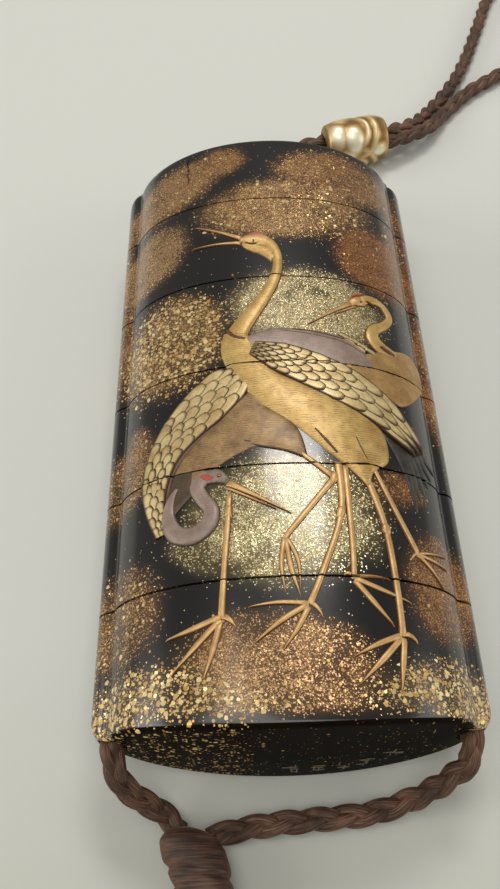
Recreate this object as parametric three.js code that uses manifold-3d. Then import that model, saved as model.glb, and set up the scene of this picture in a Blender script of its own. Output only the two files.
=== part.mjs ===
// Inro: a lacquered case of five stacked trays and a lid, strung on one silk cord with a gilt bead.
// Lengths in mm. +X right, +Y toward the lid, +Z out of the decorated front; it lies on its back.
import * as THREE from 'three';
import { mergeVertices } from 'three/addons/utils/BufferGeometryUtils.js';
import Module from 'manifold-3d';

const wasm = await Module();
wasm.setup();

// The case as a whole
const caseWidth = 46;
const caseThickness = 22.8;
const lidHeight = 12.7;
const trayHeights = [16.7, 16, 15.7, 15, 14.9];
const endDome = 1.7;
const endEdgeRadius = 0.7;
const bodyWidth = 42.5;
const bodyPower = 2.09;
const backFlatWidth = 6;

// The cord runners along both sides
const runnerRadius = 2.6;
const valleyRadius = 0.9;
const shoulderRadius = 1.8;
const channelWeb = 0.8;
const mouthFlare = 0.4;

// Walls, risers and the fit of one section in the next
const skirtWall = 1.1;
const riserWall = 0.8;
const riserHeight = 3.5;
const floorThickness = 1.2;
const endThickness = 1.8;
const fitClearance = 0.3;
const seamGap = 0.3;
const hollowPower = 2.3;

// The cord, its bead and its knot
const cordDiameter = 2.8;
const cordClearance = 0.35;
const cordSides = 8;
const strandGap = 0.3;
const beadDiameter = 9;
const beadLength = 12.2;
const beadEndDiameter = 7.4;
const beadPlace = new THREE.Vector3(18.6, 69.9, 4.6);
const beadTurn = 10 * Math.PI / 180;
const knotPlace = new THREE.Vector3(-11.6, -58.6, 3.6);
const knotRadii = new THREE.Vector3(4.2, 4.4, 3.4);
const tailLength = 11;

// The raised lacquer figures
const reliefHeight = 0.45;

const sideLength = lidHeight + trayHeights.reduce((sum, height) => sum + height, 0);
const channelRadius = cordDiameter / 2 + cordClearance;
const runnerX = caseWidth / 2 - runnerRadius;
const bodyHalf = bodyWidth / 2;
const halfThickness = caseThickness / 2;
const recessHalf = runnerX - channelRadius - channelWeb;

// Height of the flat strip on the back below the middle plane, so that it lies at z = 0.
const flatDrop = halfThickness * (1 - (backFlatWidth / 2 / bodyHalf) ** bodyPower) ** (1 / bodyPower);
const middleZ = flatDrop;

const lacquer = new THREE.MeshStandardMaterial({ color: '#1c1815', roughness: 0.18, metalness: 0 });
const gilt = new THREE.MeshStandardMaterial({ color: '#c9a55c', roughness: 0.3, metalness: 1 });
const silk = new THREE.MeshStandardMaterial({ color: '#4a3428', roughness: 0.8, metalness: 0 });

// Booleans: a closed geometry to a solid and back.
function solidOf(geometry) {
  const plain = geometry.clone();
  for (const name of Object.keys(plain.attributes)) {
    if (name !== 'position') {
      plain.deleteAttribute(name);
    }
  }
  const merged = mergeVertices(plain, 1e-4);
  return new wasm.Manifold(new wasm.Mesh({
    numProp: 3,
    vertProperties: new Float32Array(merged.attributes.position.array),
    triVerts: new Uint32Array(merged.index.array),
  }));
}

function geometryOf(solid) {
  const mesh = solid.getMesh();
  const geometry = new THREE.BufferGeometry();
  geometry.setAttribute('position', new THREE.BufferAttribute(new Float32Array(mesh.vertProperties), 3));
  geometry.setIndex(new THREE.BufferAttribute(new Uint32Array(mesh.triVerts), 1));
  geometry.computeVertexNormals();
  return geometry;
}

function union(solids) {
  return solids.reduce((whole, solid) => whole.add(solid));
}

// A prism along Y between two heights, from an outline of (x, z) points about the middle plane.
function prism(outline, fromY, toY) {
  const geometry = new THREE.ExtrudeGeometry(new THREE.Shape(outline), {
    depth: toY - fromY,
    bevelEnabled: false,
  });
  geometry.rotateX(Math.PI / 2);
  geometry.translate(0, toY, middleZ);
  return solidOf(geometry);
}

// Half height of a lens-shaped section (a superellipse) at x.
function lensHeight(x, half, height, power) {
  return height * Math.max(0, 1 - Math.abs(x / half) ** power) ** (1 / power);
}

function lensOutline(half, height, power, steps) {
  const outline = [];
  for (let i = 0; i < steps; i += 1) {
    const angle = 2 * Math.PI * i / steps;
    const cos = Math.cos(angle);
    const sin = Math.sin(angle);
    outline.push(new THREE.Vector2(
      half * Math.sign(cos) * Math.abs(cos) ** (2 / power),
      height * Math.sign(sin) * Math.abs(sin) ** (2 / power),
    ));
  }
  return outline;
}

// One quarter of the case's section: lens, hollow valley, then the half-round runner.
function quarterSection(lensSteps, valleySteps, runnerSteps) {
  const lensPoint = (x) => new THREE.Vector2(x, lensHeight(x, bodyHalf, halfThickness, bodyPower));
  const lensNormal = (x) => {
    const step = bodyHalf * 1e-4;
    const along = lensPoint(x + step).sub(lensPoint(x - step)).normalize();
    return new THREE.Vector2(-along.y, along.x);
  };
  const runnerCentre = new THREE.Vector2(runnerX, 0);
  const valleyCentre = (x) => lensPoint(x).addScaledVector(lensNormal(x), valleyRadius);
  let low = runnerX - runnerRadius - valleyRadius;
  let high = bodyHalf * 0.9995;
  for (let i = 0; i < 50; i += 1) {
    const x = (low + high) / 2;
    if (valleyCentre(x).distanceTo(runnerCentre) > runnerRadius + valleyRadius) {
      low = x;
    } else {
      high = x;
    }
  }
  const meetX = low;
  const centre = valleyCentre(meetX);
  const points = [];
  const lastAngle = Math.asin(meetX / bodyHalf);
  for (let i = 0; i <= lensSteps; i += 1) {
    points.push(lensPoint(bodyHalf * Math.sin(lastAngle * i / lensSteps)));
  }
  const fromLens = lensPoint(meetX).sub(centre);
  const fromRunner = runnerCentre.clone().sub(centre);
  const startAngle = Math.atan2(fromLens.y, fromLens.x);
  const endAngle = Math.atan2(fromRunner.y, fromRunner.x);
  const turn = Math.atan2(Math.sin(endAngle - startAngle), Math.cos(endAngle - startAngle));
  for (let i = 1; i <= valleySteps; i += 1) {
    const angle = startAngle + turn * i / valleySteps;
    points.push(new THREE.Vector2(
      centre.x + valleyRadius * Math.cos(angle),
      centre.y + valleyRadius * Math.sin(angle),
    ));
  }
  const runnerStart = Math.atan2(centre.y, centre.x - runnerX);
  for (let i = 1; i <= runnerSteps; i += 1) {
    const angle = runnerStart * (1 - i / runnerSteps);
    points.push(new THREE.Vector2(
      runnerX + runnerRadius * Math.cos(angle),
      runnerRadius * Math.sin(angle),
    ));
  }
  return points;
}

// The whole section, counterclockwise from the right edge, with the flat strip on the back.
function caseSection() {
  const quarter = quarterSection(9, 2, 4);
  const mirrored = (xSign, zSign, points) => points.map((p) => new THREE.Vector2(xSign * p.x, zSign * p.y));
  const outward = quarter.slice(1, -1);
  const flatEdge = new THREE.Vector2(backFlatWidth / 2, flatDrop);
  const backOutward = [flatEdge, ...outward.filter((p) => p.x > flatEdge.x)];
  const top = quarter[0];
  const side = quarter[quarter.length - 1];
  return [
    side,
    ...mirrored(1, 1, [...outward].reverse()),
    top,
    ...mirrored(-1, 1, [...outward, side]),
    ...mirrored(-1, -1, [...backOutward].reverse()),
    ...mirrored(1, -1, backOutward),
  ];
}

// How far the end stands beyond the side length at x: a low dome, with round shoulders on the runners.
function endRise(x) {
  const dome = endDome * (1 - (x / bodyHalf) ** 2);
  const past = Math.max(0, Math.abs(x) - (caseWidth / 2 - shoulderRadius));
  const inside = Math.min(past, shoulderRadius);
  return dome - (shoulderRadius - Math.sqrt(shoulderRadius ** 2 - inside ** 2));
}

// The outer body, from the base's dome to the lid's, as rings of the section.
function outerBody() {
  const outline = caseSection();
  const count = outline.length;
  const normals = outline.map((p, i) => {
    const before = outline[(i + count - 1) % count];
    const after = outline[(i + 1) % count];
    return new THREE.Vector2(after.y - before.y, before.x - after.x).normalize();
  });
  const rings = [];
  for (const s of [0.36, 0.7]) {
    rings.push({ inset: endEdgeRadius, scale: s, drop: 0 });
  }
  for (let i = 0; i <= 2; i += 1) {
    const angle = Math.PI / 2 * i / 2;
    rings.push({
      inset: endEdgeRadius * (1 - Math.sin(angle)),
      scale: 1,
      drop: endEdgeRadius * (1 - Math.cos(angle)),
    });
  }
  const positions = [];
  const pushRing = (ring, sign) => {
    outline.forEach((p, i) => {
      const x = (p.x - normals[i].x * ring.inset) * ring.scale;
      const z = (p.y - normals[i].y * ring.inset) * ring.scale;
      positions.push(x, sign * (sideLength / 2 + endRise(x) - ring.drop), middleZ + z);
    });
  };
  rings.forEach((ring) => pushRing(ring, -1));
  [...rings].reverse().forEach((ring) => pushRing(ring, 1));
  const ringCount = 2 * rings.length;
  const index = [];
  for (let r = 0; r < ringCount - 1; r += 1) {
    for (let i = 0; i < count; i += 1) {
      const j = (i + 1) % count;
      const a = r * count + i;
      const b = r * count + j;
      index.push(a, a + count, b, b, a + count, b + count);
    }
  }
  const baseCentre = ringCount * count;
  const lidCentre = baseCentre + 1;
  positions.push(0, -sideLength / 2 - endDome, middleZ, 0, sideLength / 2 + endDome, middleZ);
  for (let i = 0; i < count; i += 1) {
    const j = (i + 1) % count;
    index.push(baseCentre, i, j);
    index.push(lidCentre, (ringCount - 1) * count + j, (ringCount - 1) * count + i);
  }
  const geometry = new THREE.BufferGeometry();
  geometry.setAttribute('position', new THREE.Float32BufferAttribute(positions, 3));
  geometry.setIndex(index);
  return solidOf(geometry);
}

// A tapered band along a smooth line on the front, seen from the front.
function band(points, widths, steps) {
  const line = new THREE.CatmullRomCurve3(points.map(([x, y]) => new THREE.Vector3(x, y, 0)));
  const left = [];
  const right = [];
  for (let i = 0; i <= steps; i += 1) {
    const t = i / steps;
    const place = line.getPoint(t);
    const along = line.getTangent(t);
    const slot = t * (widths.length - 1);
    const near = Math.min(Math.floor(slot), widths.length - 2);
    const half = THREE.MathUtils.lerp(widths[near], widths[near + 1], slot - near) / 2;
    left.push(new THREE.Vector2(place.x - along.y * half, place.y + along.x * half));
    right.unshift(new THREE.Vector2(place.x + along.y * half, place.y - along.x * half));
  }
  const geometry = new THREE.ExtrudeGeometry(new THREE.Shape([...left, ...right]), {
    depth: 2 * halfThickness,
    bevelEnabled: false,
  });
  geometry.translate(0, 0, middleZ);
  return solidOf(geometry);
}

// The cranes: each is its neck, body, wing and legs as bands, raised on the front by the relief height.
const cranes = [
  {
    neck: { line: [[-4.4, 23.5], [-1.4, 23.7], [0.9, 20.4], [0.6, 16.2], [-1.8, 11.2], [-5, 6]], widths: [1, 2.6, 1.7, 1.9, 2.3, 3] },
    body: { line: [[-5.6, 5], [-3.6, 0.4], [1.8, -5.6], [7.6, -12], [11.6, -19]], widths: [2.4, 6, 8.6, 7, 1] },
    wing: { line: [[-3.2, 2.4], [4, 0], [11, -4.6], [17.2, -11.4]], widths: [1.6, 5.6, 7.4, 1.6] },
    legs: [
      [[10, -17.4], [12.1, -24.4], [12.5, -37.2]],
      [[7.2, -14.6], [6.9, -22.4], [2.4, -34]],
      [[3, -12.6], [6.2, -17.8], [0.2, -25.6]],
    ],
  },
  {
    neck: { line: [[-5.4, -17.6], [-8.6, -16.4], [-9.8, -19.4], [-8.2, -23.2], [-11, -25], [-13.3, -22.4], [-13.2, -18.4]], widths: [1, 2.6, 1.5, 1.6, 1.8, 2, 3.2] },
    body: { line: [[-13.6, -17.6], [-9.4, -13], [-3.6, -9], [1.6, -13]], widths: [3, 6.4, 6.6, 1] },
    wing: { line: [[-5, -1.6], [-10.4, -4.6], [-14.6, -11], [-15, -21.6]], widths: [2.4, 7.4, 6.2, 1.4] },
    legs: [
      [[-6.4, -19.6], [-6.7, -26], [-7.4, -35.4]],
    ],
  },
  {
    neck: { line: [[9.8, 12.4], [12.8, 13.2], [15.6, 12.4], [16.4, 9.8], [14, 7], [14.4, 3.4]], widths: [1, 2.6, 1.5, 1.6, 1.9, 2.8] },
    body: { line: [[14, 4.4], [18, 1.4], [19, -3.4]], widths: [2, 4.4, 1] },
    wing: { line: [[-2.6, 5.4], [5, 4.6], [13.6, 0.6]], widths: [1, 5, 2] },
    legs: [
      [[11.8, -16.4], [13.4, -21.6], [15.8, -27]],
    ],
  },
];
const legWidth = 0.9;

function raisedFigures() {
  const shell = prism(
    lensOutline(bodyHalf + reliefHeight, halfThickness + reliefHeight, bodyPower, 36),
    -sideLength / 2,
    sideLength / 2,
  );
  const bands = [];
  for (const crane of cranes) {
    bands.push(band(crane.neck.line, crane.neck.widths, 10));
    bands.push(band(crane.body.line, crane.body.widths, 7));
    bands.push(band(crane.wing.line, crane.wing.widths, 6));
    for (const leg of crane.legs) {
      bands.push(band(leg, [legWidth, legWidth], 3));
    }
  }
  return union(bands).intersect(shell);
}

// The cord's route, by hand: up the left channel, through the bead, round its bight and back down.
// A long straight run has a point close to each of its ends.
const beadAlong = new THREE.Vector3(Math.cos(beadTurn), Math.sin(beadTurn), 0);
const beadAcross = new THREE.Vector3(-Math.sin(beadTurn), Math.cos(beadTurn), 0);
function besideBead(along, across) {
  const place = beadPlace.clone().addScaledVector(beadAlong, along);
  return place.addScaledVector(beadAcross, across).toArray();
}
const outY = sideLength / 2 + 0.8;
const inY = sideLength / 2 - 1.6;
const inBead = beadLength / 2;
const strandOff = (cordDiameter + strandGap) / 2;
const route = [
  [-13.4, -53.4, 2.2],
  [-15.2, -51.5, 2.2],
  [-17.3, -50.5, 4.6],
  [-19.1, -49.6, 7.8],
  [-20.1, -48.1, 10.3],
  [-runnerX, -outY, middleZ],
  [-runnerX, -inY, middleZ],
  [-runnerX, inY, middleZ],
  [-runnerX, outY, middleZ],
  [-18.9, 49.6, 10.2],
  [-14.8, 54.2, 6.8],
  [-8.6, 59.8, 2.8],
  [-1.2, 65.4, 1.5],
  [6.2, 69.4, 3.4],
  besideBead(-inBead, strandOff),
  besideBead(inBead, strandOff),
  [31.0, 76.6, 3.4],
  [36.4, 84.2, 1.5],
  [42.2, 92.9, 1.5],
  [46, 100.8, 1.5],
  [51.2, 114.2, 1.5],
  [56.2, 127, 1.5],
  [61, 133.6, 1.5],
  [67.2, 135.2, 1.5],
  [71.4, 130.4, 1.5],
  [71, 121.4, 1.5],
  [66, 110, 1.5],
  [60, 101.6, 1.5],
  [52.8, 95.5, 1.5],
  [45, 89.4, 1.5],
  [38.6, 82.2, 1.6],
  [33.4, 74.8, 3.4],
  besideBead(inBead, -strandOff),
  besideBead(-inBead, -strandOff),
  [6.6, 64.6, 3.6],
  [5.2, 59.6, 2.4],
  [9.8, 55.6, 4.4],
  [16.2, 52.2, 8.4],
  [runnerX - 0.5, 48.8, 10.7],
  [runnerX, outY, middleZ],
  [runnerX, inY, middleZ],
  [runnerX, -inY, middleZ],
  [runnerX, -outY, middleZ],
  [20.1, -48.1, 10.3],
  [18.6, -49.2, 7.8],
  [16.2, -50.2, 4.6],
  [13.6, -50.9, 2.3],
  [9.6, -51.9, 1.5],
  [3.6, -52.4, 1.5],
  [-2.4, -52.8, 1.5],
  [-6.4, -53.3, 1.5],
  [-9.9, -54.2, 2.2],
];

// A smooth line whose even steps are even between its points, so that close points make fine steps.
class HandRoute extends THREE.CatmullRomCurve3 {
  getUtoTmapping(u) {
    return u;
  }
}

function cordTube(points, stepsBetween, diameter) {
  const line = new HandRoute(points.map((p) => new THREE.Vector3(...p)));
  const section = new THREE.Shape();
  for (let i = 0; i < cordSides; i += 1) {
    const angle = 2 * Math.PI * i / cordSides;
    const x = diameter / 2 * Math.cos(angle);
    const y = diameter / 2 * Math.sin(angle);
    if (i === 0) {
      section.moveTo(x, y);
    } else {
      section.lineTo(x, y);
    }
  }
  return solidOf(new THREE.ExtrudeGeometry(section, {
    steps: stepsBetween * (points.length - 1),
    extrudePath: line,
    bevelEnabled: false,
  }));
}

// The two cord channels, with a flared mouth at each end of the case.
function channels() {
  const length = sideLength + 2 * endDome;
  const bores = [];
  for (const x of [-runnerX, runnerX]) {
    const bore = new THREE.CylinderGeometry(channelRadius, channelRadius, length, 12);
    bores.push(solidOf(bore.translate(x, 0, middleZ)));
    for (const end of [-1, 1]) {
      const outer = channelRadius + mouthFlare;
      const top = end > 0 ? outer : channelRadius;
      const bottom = end > 0 ? channelRadius : outer;
      const flare = new THREE.CylinderGeometry(top, bottom, 2 * mouthFlare, 12);
      bores.push(solidOf(flare.translate(x, end * (sideLength / 2 - mouthFlare / 2), middleZ)));
    }
  }
  return union(bores);
}

// The lid and the trays, cut from one body at the seams, each hollowed and given its riser.
function caseSections() {
  const body = outerBody().add(raisedFigures()).subtract(channels());
  const recess = (fromY, toY) => prism(
    lensOutline(recessHalf, halfThickness - skirtWall, hollowPower, 28), fromY, toY);
  const riserHalf = recessHalf - fitClearance;
  const riserRise = halfThickness - skirtWall - fitClearance;
  const riser = (fromY, toY) => prism(lensOutline(riserHalf, riserRise, hollowPower, 28), fromY, toY);
  const inside = (fromY, toY) => prism(
    lensOutline(riserHalf - riserWall, riserRise - riserWall, hollowPower, 28), fromY, toY);
  const reach = sideLength / 2 + endDome + 1;
  const recessDepth = riserHeight + fitClearance;
  const names = ['lid', ...trayHeights.map((_, i) => `case_${i + 1}`)];
  const heights = [lidHeight, ...trayHeights];
  const sections = [];
  let top = sideLength / 2;
  heights.forEach((height, i) => {
    const isLid = i === 0;
    const isBase = i === heights.length - 1;
    const bottom = top - height;
    const slabTop = isLid ? reach : top - seamGap / 2;
    const slabBottom = isBase ? -reach : bottom + seamGap / 2;
    const slab = new THREE.BoxGeometry(2 * caseWidth, slabTop - slabBottom, 3 * caseThickness);
    slab.translate(0, (slabTop + slabBottom) / 2, middleZ);
    let solid = body.intersect(solidOf(slab));
    if (!isBase) {
      solid = solid.subtract(recess(bottom - 1, bottom + recessDepth));
    }
    if (isLid) {
      solid = solid.subtract(inside(bottom, sideLength / 2 - endThickness + endDome / 2));
    } else {
      const floorTop = isBase ? bottom + endThickness : bottom + recessDepth + floorThickness;
      solid = solid.add(riser(top - seamGap - 1, top + riserHeight));
      solid = solid.subtract(inside(floorTop, top + riserHeight + 1));
    }
    sections.push({ name: names[i], solid });
    top = bottom;
  });
  return sections;
}

// The bead: a swelling barrel along X with a raised collar at each end and an oval hole.
function beadSolid() {
  const half = beadLength / 2;
  const endRadius = beadEndDiameter / 2;
  const bulge = beadDiameter / 2;
  const profile = [new THREE.Vector2(0, -half), new THREE.Vector2(endRadius, -half)];
  const rows = 8;
  for (let i = 1; i < rows; i += 1) {
    const t = 2 * i / rows - 1;
    profile.push(new THREE.Vector2(endRadius + (bulge - endRadius) * Math.sqrt(1 - t * t), half * t));
  }
  profile.push(new THREE.Vector2(endRadius, half), new THREE.Vector2(0, half));
  const barrel = new THREE.LatheGeometry(profile, 20);
  barrel.rotateZ(-Math.PI / 2);
  const slot = new THREE.Shape();
  const reach = cordDiameter / 2 + cordClearance;
  slot.absarc(strandOff, 0, reach, -Math.PI / 2, Math.PI / 2, false);
  slot.absarc(-strandOff, 0, reach, Math.PI / 2, 3 * Math.PI / 2, false);
  const hole = new THREE.ExtrudeGeometry(slot, { depth: 2 * beadLength, bevelEnabled: false, curveSegments: 5 });
  hole.translate(0, 0, -beadLength);
  hole.rotateX(Math.PI / 2);
  hole.rotateZ(Math.PI / 2);
  return solidOf(barrel).subtract(solidOf(hole));
}

// The room that the knot leaves round an end of the cord, in the knot's own frame.
function pocket(end, before) {
  const tip = new THREE.Vector3(...end);
  const back = new THREE.Vector3(...before);
  const inward = tip.clone().sub(back).normalize();
  const beyond = tip.clone().addScaledVector(inward, strandGap);
  const points = [back, back.clone().lerp(tip, 0.5), tip, beyond].map((p) => p.sub(knotPlace).toArray());
  return cordTube(points, 2, cordDiameter + 2 * strandGap);
}

// The knot: a rounded lump with two wraps standing out of it, and the cord's two cut ends.
function knotSolid() {
  const lump = new THREE.SphereGeometry(1, 14, 9);
  lump.scale(knotRadii.x, knotRadii.y, knotRadii.z - 0.4);
  const parts = [solidOf(lump)];
  for (const lean of [-0.6, 0.5]) {
    const wrap = new THREE.TorusGeometry(knotRadii.x - cordDiameter / 2 + 0.2, cordDiameter / 2, 6, 12);
    wrap.scale(1, 0.8, 1);
    wrap.rotateX(Math.PI / 2 + lean);
    wrap.scale(1, 1, knotRadii.z / knotRadii.x);
    parts.push(solidOf(wrap));
  }
  for (const side of [-1, 1]) {
    const from = new THREE.Vector3(side * 1.8, -knotRadii.y * 0.6, -0.6);
    const down = cordDiameter / 2 - knotPlace.z + 0.1;
    const tail = cordTube([
      from.toArray(),
      [side * 2.4, -knotRadii.y - 1.6, down],
      [side * 3.4, -knotRadii.y - 0.55 * tailLength, down],
      [side * 3.8, -knotRadii.y - tailLength, down],
    ], 2, cordDiameter);
    parts.push(tail);
  }
  let whole = union(parts);
  for (const [end, before] of [[route[0], route[1]], [route[route.length - 1], route[route.length - 2]]]) {
    whole = whole.subtract(pocket(end, before));
  }
  const reach = 4 * (knotRadii.y + tailLength);
  const floor = new THREE.BoxGeometry(reach, reach, reach);
  floor.translate(0, 0, 0.05 - knotPlace.z - reach / 2);
  return whole.subtract(solidOf(floor));
}

function named(name, solid, material) {
  const mesh = new THREE.Mesh(geometryOf(solid), material);
  mesh.name = name;
  return mesh;
}

const inro = new THREE.Group();

for (const section of caseSections()) {
  inro.add(named(section.name, section.solid, lacquer));
}

inro.add(named('cord', cordTube(route, 1, cordDiameter), silk));

const bead = named('bead', beadSolid(), gilt);
bead.position.copy(beadPlace);
bead.rotation.z = beadTurn;
inro.add(bead);

const knot = named('knot', knotSolid(), silk);
knot.position.copy(knotPlace);
inro.add(knot);

export default inro;
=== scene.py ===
"""A lacquered inro: five stacked trays and a lid, strung on a plaited silk cord with a gilt bead."""
import math

import bpy
import numpy as np
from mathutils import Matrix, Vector


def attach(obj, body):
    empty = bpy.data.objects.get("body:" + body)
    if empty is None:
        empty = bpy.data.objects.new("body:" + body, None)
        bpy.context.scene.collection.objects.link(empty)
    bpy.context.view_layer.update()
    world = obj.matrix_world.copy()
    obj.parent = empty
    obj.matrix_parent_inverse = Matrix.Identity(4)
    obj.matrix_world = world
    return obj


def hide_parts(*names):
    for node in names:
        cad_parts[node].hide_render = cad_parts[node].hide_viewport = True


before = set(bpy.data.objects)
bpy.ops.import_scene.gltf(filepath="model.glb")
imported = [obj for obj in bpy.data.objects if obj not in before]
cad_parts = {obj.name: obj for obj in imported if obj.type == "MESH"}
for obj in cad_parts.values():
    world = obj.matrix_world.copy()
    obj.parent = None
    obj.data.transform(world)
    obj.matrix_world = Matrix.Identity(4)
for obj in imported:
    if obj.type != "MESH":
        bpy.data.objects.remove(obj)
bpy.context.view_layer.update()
scene = bpy.context.scene

# The view
# The case lies on its back and is seen from above its bottom end, a little over a case length away.
CAMERA_PLACE = (-0.00326, -0.07032, 0.10941)
CAMERA_TURN = (33.59, 1.23, -1.46)
CAMERA_LENS_MM = 33.97
bpy.ops.object.camera_add(location=CAMERA_PLACE, rotation=[math.radians(a) for a in CAMERA_TURN])
camera = bpy.context.object
camera.data.lens = CAMERA_LENS_MM
camera.data.sensor_width = 36
camera.data.clip_start = 0.002
scene.camera = camera


# The cord
# One length of brown silk in a three-strand plait, 2.8 mm across. From the knot below the base it
# runs up the left channel, through the bead, round its bight and back down the right channel.
PLAIT_PITCH = 0.0112
PLAIT_SWING = 0.00068
PLAIT_RISE = 0.00048
STRAND_WIDE = 0.00076
STRAND_THICK = 0.00066
STRAND_SIDES = 12
CORD_STEP = 0.0004
CORD_ROUTE_MM = [
    (-13.4, -53.4, 2.2), (-15.2, -51.5, 2.2), (-17.3, -50.5, 4.6), (-19.1, -49.6, 7.8),
    (-20.1, -48.1, 10.3), (-20.4, -46.3, 11.3), (-20.4, -43.9, 11.3), (-20.4, 43.9, 11.3),
    (-20.4, 46.3, 11.3), (-18.9, 49.6, 10.2), (-14.8, 54.2, 6.8), (-8.6, 59.8, 2.8),
    (-1.2, 65.4, 1.5), (6.2, 69.4, 3.4), (12.3, 70.4, 4.6), (24.3, 72.5, 4.6),
    (31.0, 76.6, 3.4), (36.4, 84.2, 1.5), (42.2, 92.9, 1.5), (46.0, 100.8, 1.5),
    (51.2, 114.2, 1.5), (56.2, 127.0, 1.5), (61.0, 133.6, 1.5), (67.2, 135.2, 1.5),
    (71.4, 130.4, 1.5), (71.0, 121.4, 1.5), (66.0, 110.0, 1.5), (60.0, 101.6, 1.5),
    (52.8, 95.5, 1.5), (45.0, 89.4, 1.5), (38.6, 82.2, 1.6), (33.4, 74.8, 3.4),
    (24.9, 69.4, 4.6), (12.9, 67.3, 4.6), (6.6, 64.6, 3.6), (5.2, 59.6, 2.4),
    (9.8, 55.6, 4.4), (16.2, 52.2, 8.4), (19.9, 48.8, 10.7), (20.4, 46.3, 11.3),
    (20.4, 43.9, 11.3), (20.4, -43.9, 11.3), (20.4, -46.3, 11.3), (20.1, -48.1, 10.3),
    (18.6, -49.2, 7.8), (16.2, -50.2, 4.6), (13.6, -50.9, 2.3), (9.6, -51.9, 1.5),
    (3.6, -52.4, 1.5), (-2.4, -52.8, 1.5), (-6.4, -53.3, 1.5), (-9.9, -54.2, 2.2),
]


def smooth_line(points, step):
    """Even points along a centripetal Catmull-Rom line, and the line's length."""
    p = np.array(points, float)
    p = np.vstack([2 * p[0] - p[1], p, 2 * p[-1] - p[-2]])
    pieces = []
    for a, b, c, d in zip(p[:-3], p[1:-2], p[2:-1], p[3:]):
        k0, k1, k2 = [max(np.linalg.norm(v), 1e-9) ** 0.5 for v in (b - a, c - b, d - c)]
        into = ((b - a) / k0 - (c - a) / (k0 + k1) + (c - b) / k1) * k1
        out = ((c - b) / k1 - (d - b) / (k1 + k2) + (d - c) / k2) * k1
        t = np.linspace(0, 1, 24, endpoint=False)[:, None]
        pieces.append((2 * t**3 - 3 * t**2 + 1) * b + (t**3 - 2 * t**2 + t) * into
                      + (3 * t**2 - 2 * t**3) * c + (t**3 - t**2) * out)
    dense = np.vstack(pieces + [p[-2:-1]])
    along = np.concatenate([[0], np.cumsum(np.linalg.norm(np.diff(dense, axis=0), axis=1))])
    stations = np.linspace(0, along[-1], max(2, int(along[-1] / step) + 1))
    return np.stack([np.interp(stations, along, dense[:, i]) for i in range(3)], 1), along[-1]


def across_and_up(line):
    """Unit vectors along a line, level across it, and square to both."""
    along = np.gradient(line, axis=0)
    along /= np.linalg.norm(along, axis=1)[:, None]
    across = np.cross(along, (0, 0, 1))
    across /= np.linalg.norm(across, axis=1)[:, None]
    return along, across, np.cross(across, along)


def skin(rings):
    """Vertices and faces of a closed body through rings of points, with both ends closed."""
    count, around = rings.shape[:2]
    vertices = np.vstack([rings.reshape(-1, 3), rings[0].mean(0), rings[-1].mean(0)])
    index = np.arange(count * around).reshape(count, around)
    following = np.roll(index, -1, axis=1)
    sides = np.stack([index[:-1], following[:-1], following[1:], index[1:]], -1).reshape(-1, 4)
    first, last = count * around, count * around + 1
    caps = [(first, b, a) for a, b in zip(index[0], following[0])]
    caps += [(last, a, b) for a, b in zip(index[-1], following[-1])]
    return vertices, [tuple(f) for f in sides.tolist()] + [tuple(map(int, f)) for f in caps]


def plait(line):
    """The three strands of a plait: each swings from side to side and over and under the others."""
    _, across, up = across_and_up(line)
    turn = 2 * math.pi * np.arange(len(line)) * np.linalg.norm(line[1] - line[0]) / PLAIT_PITCH
    around = np.linspace(0, 2 * math.pi, STRAND_SIDES, endpoint=False)
    strands = []
    for start in (0, 2 * math.pi / 3, 4 * math.pi / 3):
        swing = PLAIT_SWING * np.sin(turn + start)
        rise = PLAIT_RISE * np.sin(2 * (turn + start))
        centre = line + across * swing[:, None] + up * rise[:, None]
        along = np.gradient(centre, axis=0)
        along /= np.linalg.norm(along, axis=1)[:, None]
        wide = np.cross(along, up)
        wide /= np.linalg.norm(wide, axis=1)[:, None]
        high = np.cross(wide, along)
        strands.append(centre[:, None]
                       + wide[:, None] * (STRAND_WIDE * np.cos(around))[None, :, None]
                       + high[:, None] * (STRAND_THICK * np.sin(around))[None, :, None])
    return strands


def corner_values(mesh, values):
    """Values given for each vertex, laid out for each face corner."""
    corner = np.zeros(len(mesh.loops), int)
    mesh.loops.foreach_get("vertex_index", corner)
    return values[corner]


def mesh_piece(name, bodies):
    """One object from bodies of rings, with a UV map of millimetres along and share around."""
    vertices, faces, uvs = [], [], []
    base = 0
    for rings in bodies:
        body_vertices, body_faces = skin(rings)
        count, around = rings.shape[:2]
        along = np.concatenate([[0], np.cumsum(
            np.linalg.norm(np.diff(rings.mean(1), axis=0), axis=1))]) * 1000
        uv = np.stack([np.repeat(along, around), np.tile(np.arange(around) / around, count)], 1)
        uvs.append(np.vstack([uv, [along[0], 0.5], [along[-1], 0.5]]))
        vertices.append(body_vertices)
        faces += [tuple(i + base for i in f) for f in body_faces]
        base += len(body_vertices)
    mesh = bpy.data.meshes.new(name)
    mesh.from_pydata(np.vstack(vertices).tolist(), [], faces)
    layer = mesh.uv_layers.new(name="UVMap")
    coords = corner_values(mesh, np.vstack(uvs))
    for face in mesh.polygons:
        loops = list(face.loop_indices)
        if len(loops) == 4 and coords[loops, 1].max() - coords[loops, 1].min() > 0.5:
            for i in loops:
                coords[i, 1] += 1.0 if coords[i, 1] < 0.5 else 0.0
    layer.data.foreach_set("uv", coords.ravel())
    mesh.polygons.foreach_set("use_smooth", [True] * len(mesh.polygons))
    mesh.update()
    piece = bpy.data.objects.new(name, mesh)
    scene.collection.objects.link(piece)
    return piece


def linear(colour):
    """The linear values of an sRGB hex colour."""
    parts = [int(colour[i:i + 2], 16) / 255 for i in (1, 3, 5)]
    return [p / 12.92 if p <= 0.04045 else ((p + 0.055) / 1.055) ** 2.4 for p in parts] + [1.0]


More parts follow.
